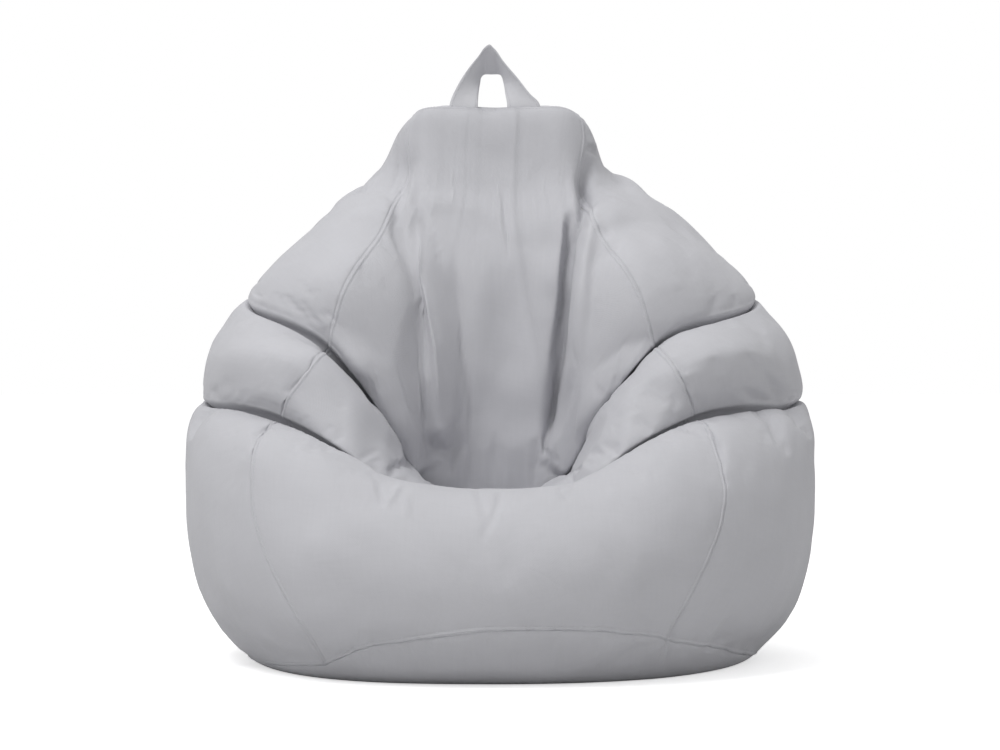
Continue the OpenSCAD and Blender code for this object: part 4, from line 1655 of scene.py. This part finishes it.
@dataclass
class CarryHandle:
    """A folded strap whose feet are caught in the top seam, and whose loop turns over at the top."""

    thickness: float = 0.0024
    steps: int = 12
    across: int = 17
    hinge_rise: float = 0.002
    edge_thin: float = 0.25
    hem_place: float = 0.8
    hem_width: float = 0.05
    hem_dip: float = 0.12
    turn_below: float = 0.005
    turn_above: float = 0.012
    # The strap's two edges, in millimetres from the middle of the hinge line at the top seam.
    long_edge: tuple[tuple[float, float, float], ...] = (
        (-78, 0, -11), (-77, 0, 2), (-66, -3, 28), (-50, -6, 53), (-33, -9, 74), (-24, -10, 86),
        (-18, -11, 89.5),
        (-12, -10, 85), (3, -8, 65), (26, -5, 38), (42, -2, 18), (57, 0, 2), (58, 0, -11),
    )
    short_edge: tuple[tuple[float, float, float], ...] = (
        (-35, 0, -11), (-35, 0, 2), (-34, 9, 20), (-32, 20, 35), (-30, 28, 45), (-27, 31, 48.5),
        (-14.5, 32, 49.5),
        (-1, 31, 48.5), (1, 27, 45), (4, 19, 33), (6, 8, 18), (8.5, 0, 2), (9, 0, -11),
    )
    size: SheetSize = SheetSize(0.050, 0.200, 0.0095)

    def edge(self, keys: Sequence[tuple[float, float, float]], hinge: Points) -> Points:
        """A smooth edge through its key points, in the chair's place."""
        return smooth_path(np.array(keys, float) / 1000, self.steps) + hinge

    def build(self, cloth: bpy.types.Material, thread: bpy.types.Material) -> list[bpy.types.Object]:
        """The strap and its hem stitches.

        Args:
            cloth: The strap's material.
            thread: The stitches'.

        Returns:
            The objects.
        """
        low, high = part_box("handle_feet")
        hinge = np.array([0.0, (low[1] + high[1]) / 2, high[2] + self.hinge_rise])
        long_side, short_side = (self.edge(keys, hinge) for keys in (self.long_edge, self.short_edge))
        t = np.linspace(0, 1, self.across)[:, None, None]
        middle = short_side * (1 - t) + long_side * t
        # The strap is thinner at its two edges, and bulges a little over its hems.
        s = np.linspace(-1, 1, self.across)[:, None, None]
        hem = np.exp(-(((np.abs(s) - self.hem_place) / self.hem_width) ** 2))
        bulge = (1 - s**12) ** 0.5 * (1 - self.hem_dip * hem)
        out = grid_normals(middle, False)
        half = out * self.thickness / 2 * np.maximum(bulge, self.edge_thin)
        strap = closed_gore("handle_strap", middle + half, middle - half)
        strap.data.materials.append(cloth)
        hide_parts("carry_handle", "handle_feet")
        lines = []
        for row in (1, self.across - 2):
            inner_row = row + (1 if row == 1 else -1)
            at = middle[row] * 0.5 + middle[inner_row] * 0.5
            for side in (1, -1):
                lines.append((at + out[row] * side * self.thickness / 2, out[row] * side))
        stitching = Stitching(pitch=0.0042, length=0.0034, radius=0.0004)
        stitches = stitching.rows("stitches_handle", lines, thread)
        for piece in (strap, stitches):
            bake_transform(piece)
        return [strap, stitches]


# ---- The zips ----


@dataclass(frozen=True)
class Zip:
    """A nylon coil zip in the sloping middle of the back."""

    length: float
    inward: float
    middle: tuple[float, float, float]
    up: tuple[float, float, float]
    out: tuple[float, float, float]
    split: float = 0.0014
    coil_width: float = 0.0027
    coil_low: float = -0.00138
    coil_height: float = 0.0023
    wire: float = 0.00036
    pitch: float = 0.0019
    turn_steps: int = 10
    wire_sides: int = 4

    def coil(self, side: int, node: str, nylon: bpy.types.Material) -> bpy.types.Object:
        """One row of teeth, as a flattened coil of nylon wire.

        Args:
            side: -1 for the row on the viewer's left from the front, and +1 for the other.
            node: The CAD node it stands for.
            nylon: Its material.

        Returns:
            The object.
        """
        turns = int(self.length / self.pitch) - 1
        t = np.arange(turns * self.turn_steps + 1) / self.turn_steps
        angle = 2 * math.pi * t
        wide, tall = self.coil_width / 2 - self.wire, self.coil_height / 2 - self.wire
        x = side * ((self.split + self.coil_width) / 2 + wide * np.cos(angle))
        y = -self.length / 2 + self.pitch * (0.5 + t)
        n = self.coil_low + self.coil_height / 2 + tall * np.sin(angle) - self.inward
        up, out = np.array(self.up), np.array(self.out)
        across = x[:, None] * np.array([1.0, 0, 0])
        path = np.array(self.middle) + across + y[:, None] * up + n[:, None] * out
        way = unit(np.gradient(path, axis=0))
        one = unit(np.cross(way, up))
        two = np.cross(way, one)
        turn = 2 * math.pi * np.arange(self.wire_sides) / self.wire_sides
        round_wire = np.cos(turn)[None, :, None] * one[:, None] + np.sin(turn)[None, :, None] * two[:, None]
        points = (path[:, None] + self.wire * round_wire).reshape(-1, 3)
        faces = grid_faces(len(path), self.wire_sides, True)[:, ::-1].tolist()
        last = (len(path) - 1) * self.wire_sides
        faces.append(list(range(self.wire_sides)))
        faces.append([last + k for k in reversed(range(self.wire_sides))])
        return dress(new_object(node + "_coil", points, faces), node, nylon)


# ---- The liner and the beads ----


@dataclass
class Filling:
    """The liner bag and the beads inside it, a little in from the cover all the way round."""

    net: Net
    cover: Cover
    liner_out: float = 0.0022
    liner_in: float = 0.0030
    beads_out: float = 0.0042
    liner_zip_room: float = 0.0096
    beads_zip_room: float = 0.0127
    neck_slack: float = 0.014
    beads_neck: float = 0.005
    zip_reach: float = 0.140
    every: int = 4
    fill: float = 0.7
    zip_half_w: float = 0.024
    zip_fade: float = 0.05
    back_starts: float = 0.1
    neck_fade: float = 0.7

    def layer(self, depth: float, zip_room: float, neck: float) -> Points:
        """The net's points, moved in by a depth that grows behind the zip and under the top cap."""
        net = self.net
        p = net.flat_points
        near = 1 - ease((np.abs(p[..., 0]) - self.zip_half_w) / self.zip_fade)
        tall = net.form.zip_weight(np.zeros_like(p[..., 0]), p[..., 2])
        behind = np.where(p[..., 1] > self.back_starts, near * tall, 0.0)
        high = ease((net.height - (LAST - 1.0)) / self.neck_fade)
        moved = p - net.flat_normals * (depth - net.deepest() + zip_room * behind + neck * high)[..., None]
        moved[..., 2] = np.where(net.height <= 0, depth, np.maximum(moved[..., 2], depth))
        return moved

    def pick(self, first: int, last: int) -> Points:
        """Every few of a run of rows or columns, with both ends."""
        return np.unique(np.concatenate([np.arange(first, last, self.every), [last]]))

    def pick_rows(self, first: int, last: int) -> Points:
        """Every few of a run of rows, with both ends and the bottoms of the creases."""
        creases = [int(np.argmin(np.abs(self.net.height[:, 0] - k))) for k in self.net.crease_rings]
        inside = [k for k in creases if first < k < last]
        return np.unique(np.concatenate([self.pick(first, last), inside]).astype(int))

    def build(self, cloth: bpy.types.Material, foam: bpy.types.Material) -> list[bpy.types.Object]:
        """The liner's five pieces and the pile of beads.

        Args:
            cloth: The liner's material.
            foam: The beads'.

        Returns:
            The objects.
        """
        net = self.net
        outer = self.layer(self.liner_out, self.liner_zip_room, self.neck_slack)
        inner = self.layer(self.liner_in, self.liner_zip_room, self.neck_slack)
        total = net.points.shape[1]
        seams = net.columns[:-1]
        low, high, last = net.rows["side"], net.rows["top"], len(net.points) - 1
        rows = self.pick_rows(low, high)
        made = []
        gores = (
            ("liner_front_panel", seams[4] - total, seams[2]),
            ("liner_back_right_panel", seams[2], seams[3]),
            ("liner_back_left_panel", seams[3], seams[4]),
        )
        for name, start, end in gores:
            columns = self.pick(start, end) % total
            sides = [outer[np.ix_(rows, columns)], inner[np.ix_(rows, columns)]]
            if "back" in name:
                side = 1 if "right" in name else -1
                sides = [self.cover.parted(s, side, self.zip_reach) for s in sides]
            made.append(dress(closed_gore(name + "_cloth", *sides), name, cloth))
        around = np.arange(0, total, self.every)
        for name, first, end, pole_first in (
            ("liner_base_panel", 0, low, True), ("liner_top_panel", high, last, False)
        ):
            here = np.ix_(self.pick(first, end), around)
            piece = closed_disc(name + "_cloth", outer[here], inner[here], pole_first)
            made.append(dress(piece, name, cloth))
        beads = self.layer(self.beads_out, self.beads_zip_room, self.neck_slack + self.beads_neck)
        rows = self.pick_rows(0, last)
        grid = beads[np.ix_(rows, around)]
        count = len(around)
        faces = grid_faces(len(rows), count, True).tolist()
        end = (len(rows) - 1) * count
        size = len(rows) * count
        faces += [(k, size, (k + 1) % count) for k in range(count)]
        faces += [(end + k, end + (k + 1) % count, size + 1) for k in range(count)]
        points = np.concatenate([grid.reshape(-1, 3), grid[0].mean(0)[None], grid[-1].mean(0)[None]])
        pile = new_object("bead_pile", points, faces)
        made.append(dress(pile, "bead_filling", foam))
        return made


# ---- The studio ----


@dataclass(frozen=True)
class SoftLight:
    """A square area light, aimed at the chair."""

    name: str
    place: tuple[float, float, float]
    size: float
    power: float
    aim: tuple[float, float, float] = (0.0, 0.0, 0.4)

    def build(self) -> None:
        """Adds the light."""
        data = bpy.data.lights.new(self.name, "AREA")
        data.size = self.size
        data.energy = self.power
        light = bpy.data.objects.new(self.name, data)
        bpy.context.scene.collection.objects.link(light)
        light.location = self.place
        light.rotation_euler = (Vector(self.aim) - Vector(self.place)).to_track_quat("-Z", "Y").to_euler()


@dataclass(frozen=True)
class Studio:
    """A white studio: a bright floor that runs into a white surround, soft lights and the camera."""

    camera_place: tuple[float, float, float] = (-0.002, -4.0, 0.43)
    camera_dip: float = 0.31
    lens: float = 99.5
    sensor_width: float = 36
    floor_size: float = 60
    floor_shade: float = 0.9
    floor_roughness: float = 0.9
    floor_shine: float = 0.1
    surround: float = 1.0
    ambient: float = 0.58
    floor_glow: float = 0.55
    floor_bounce: float = 0.74
    lights: tuple[SoftLight, ...] = (
        SoftLight("key", (-1.6, -2.1, 3.6), 1.5, 65),
        SoftLight("fill", (2.8, -2.6, 1.4), 2.2, 1),
        SoftLight("top", (-0.2, 0.2, 3.2), 2.4, 20),
    )

    def build_camera(self) -> None:
        """Adds the camera."""
        camera = bpy.data.objects.new("camera", bpy.data.cameras.new("camera"))
        bpy.context.scene.collection.objects.link(camera)
        camera.location = self.camera_place
        camera.rotation_euler = (math.radians(90 - self.camera_dip), 0, 0)
        camera.data.lens = self.lens
        camera.data.sensor_width = self.sensor_width
        bpy.context.scene.camera = camera

    def build(self) -> None:
        """Adds the floor, the lights and the surround."""
        bpy.ops.object.select_all(action="DESELECT")
        bpy.ops.mesh.primitive_plane_add(size=self.floor_size, location=(0, 0, 0))
        floor = bpy.context.object
        floor.name = "studio_floor"
        pale, nodes, shader = new_material("floor_pale")
        path = nodes.add("ShaderNodeLightPath")
        bounced, shown = (self.floor_bounce,) * 3, (self.floor_shade,) * 3
        nodes.mix(path.outputs["Is Camera Ray"], bounced, shown, shader.inputs["Base Color"])
        glow = nodes.maths("MULTIPLY", path.outputs["Is Camera Ray"], self.floor_glow)
        nodes.join(glow, shader.inputs["Emission Strength"])
        shader.inputs["Roughness"].default_value = self.floor_roughness
        shader.inputs["Specular IOR Level"].default_value = self.floor_shine
        shader.inputs["Emission Color"].default_value = (1, 1, 1, 1)
        floor.data.materials.append(pale)
        for light in self.lights:
            light.build()
        world = bpy.data.worlds.new("studio")
        world.use_nodes = True
        nodes = Nodes(world.node_tree)
        path = nodes.add("ShaderNodeLightPath")
        background = world.node_tree.nodes["Background"]
        seen = path.outputs["Is Camera Ray"]
        bright = nodes.maths("MULTIPLY_ADD", seen, self.surround - self.ambient, self.ambient)
        nodes.join(bright, background.inputs["Strength"])
        background.inputs["Color"].default_value = (1, 1, 1, 1)
        bpy.context.scene.world = world
        bpy.context.scene.view_settings.view_transform = "Standard"


SWELLS = (Waves(0.17, 0.0030, seed=3), Waves(0.07, 0.0008, seed=8))
ZIP_MIDDLE = (0.0, 0.356, 0.495)
ZIP_LENGTHS = {"zip": 0.36, "liner_zip": 0.24}
ZIP_DEPTHS = {"zip": 0.0, "liner_zip": 0.0118}
HARD_PARTS = {
    "zip_tape": ("zip_tape_left", "zip_tape_right", "liner_zip_tape_left", "liner_zip_tape_right"),
    "zip_metal": ("zip_bottom_stop", "zip_top_stops", "zip_slider", "zip_pull", "liner_zip_bottom_stop",
                  "liner_zip_top_stops", "liner_zip_slider"),
}


def refinish(frame: dict, nodes: Sequence[str], finish: bpy.types.Material) -> None:
    """Gives CAD nodes that are shown as they are a better material.

    Args:
        nodes: The nodes' names.
        finish: The material.
    """
    for name in nodes:
        for slot in frame["nodes"][name].material_slots:
            slot.material = finish


def measure(piece: bpy.types.Object) -> None:
    """Reports a piece of cloth's area and its size along its threads."""
    mesh = piece.data
    area = sum(p.area for p in mesh.polygons) / 2
    uv = np.array([loop.uv[:] for loop in mesh.uv_layers["cloth"].data])
    log.info("%s: %.4f m2, %.3f by %.3f m", piece.name, area, *np.ptp(uv, axis=0))


def main() -> None:
    """Builds the chair, piece by piece, then the studio."""
    logging.basicConfig(level=logging.INFO, format="%(message)s")
    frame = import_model()
    studio = Studio()
    studio.build_camera()
    groups = Groups()
    finishes = {f.name: f.make(groups) for f in (
        COVER_CLOTH, STRAP_CLOTH, LINER_CLOTH, SEAM_THREAD, ZIP_TAPE, ZIP_NYLON, ZIP_METAL, BEAD_FOAM)}
    net = Net(BagForm(), SeamShape())
    log.info("net: %d rows by %d columns", *net.points.shape[:2])
    net.fold_cloth(FRONT_FOLDS, SWELLS)
    Relaxer().run(net)
    cover = Cover(net)
    for piece in cover.build(finishes["cover_cloth"]):
        measure(piece)
    for piece in Stitching().follow_seams(cover, finishes["seam_thread"]):
        log.info("%s: %d faces", piece.name, len(piece.data.polygons))
    for piece in CarryHandle().build(finishes["strap_cloth"], finishes["seam_thread"]):
        log.info("%s: %d faces", piece.name, len(piece.data.polygons))
    measure(bpy.data.objects["handle_strap"])
    low, high = net.form.back_low, net.form.back_high
    lean = math.atan2(low[0] - high[0], high[1] - low[1])
    up, out = (0.0, -math.sin(lean), math.cos(lean)), (0.0, math.cos(lean), math.sin(lean))
    for name, length in ZIP_LENGTHS.items():
        zip_row = Zip(length, ZIP_DEPTHS[name], ZIP_MIDDLE, up, out)
        for side, word in ((-1, "left"), (1, "right")):
            node = f"{name}_teeth_{word}"
            log.info("%s", zip_row.coil(side, node, finishes["zip_nylon"]).name)
    for finish, nodes in HARD_PARTS.items():
        refinish(frame, nodes, finishes[finish])
    for piece in Filling(net, cover).build(finishes["liner_cloth"], finishes["bead_foam"]):
        if piece.data.uv_layers:
            measure(piece)
        log.info("%s: %d faces", piece.name, len(piece.data.polygons))
    studio.build()


if __name__ == "__main__":
    main()
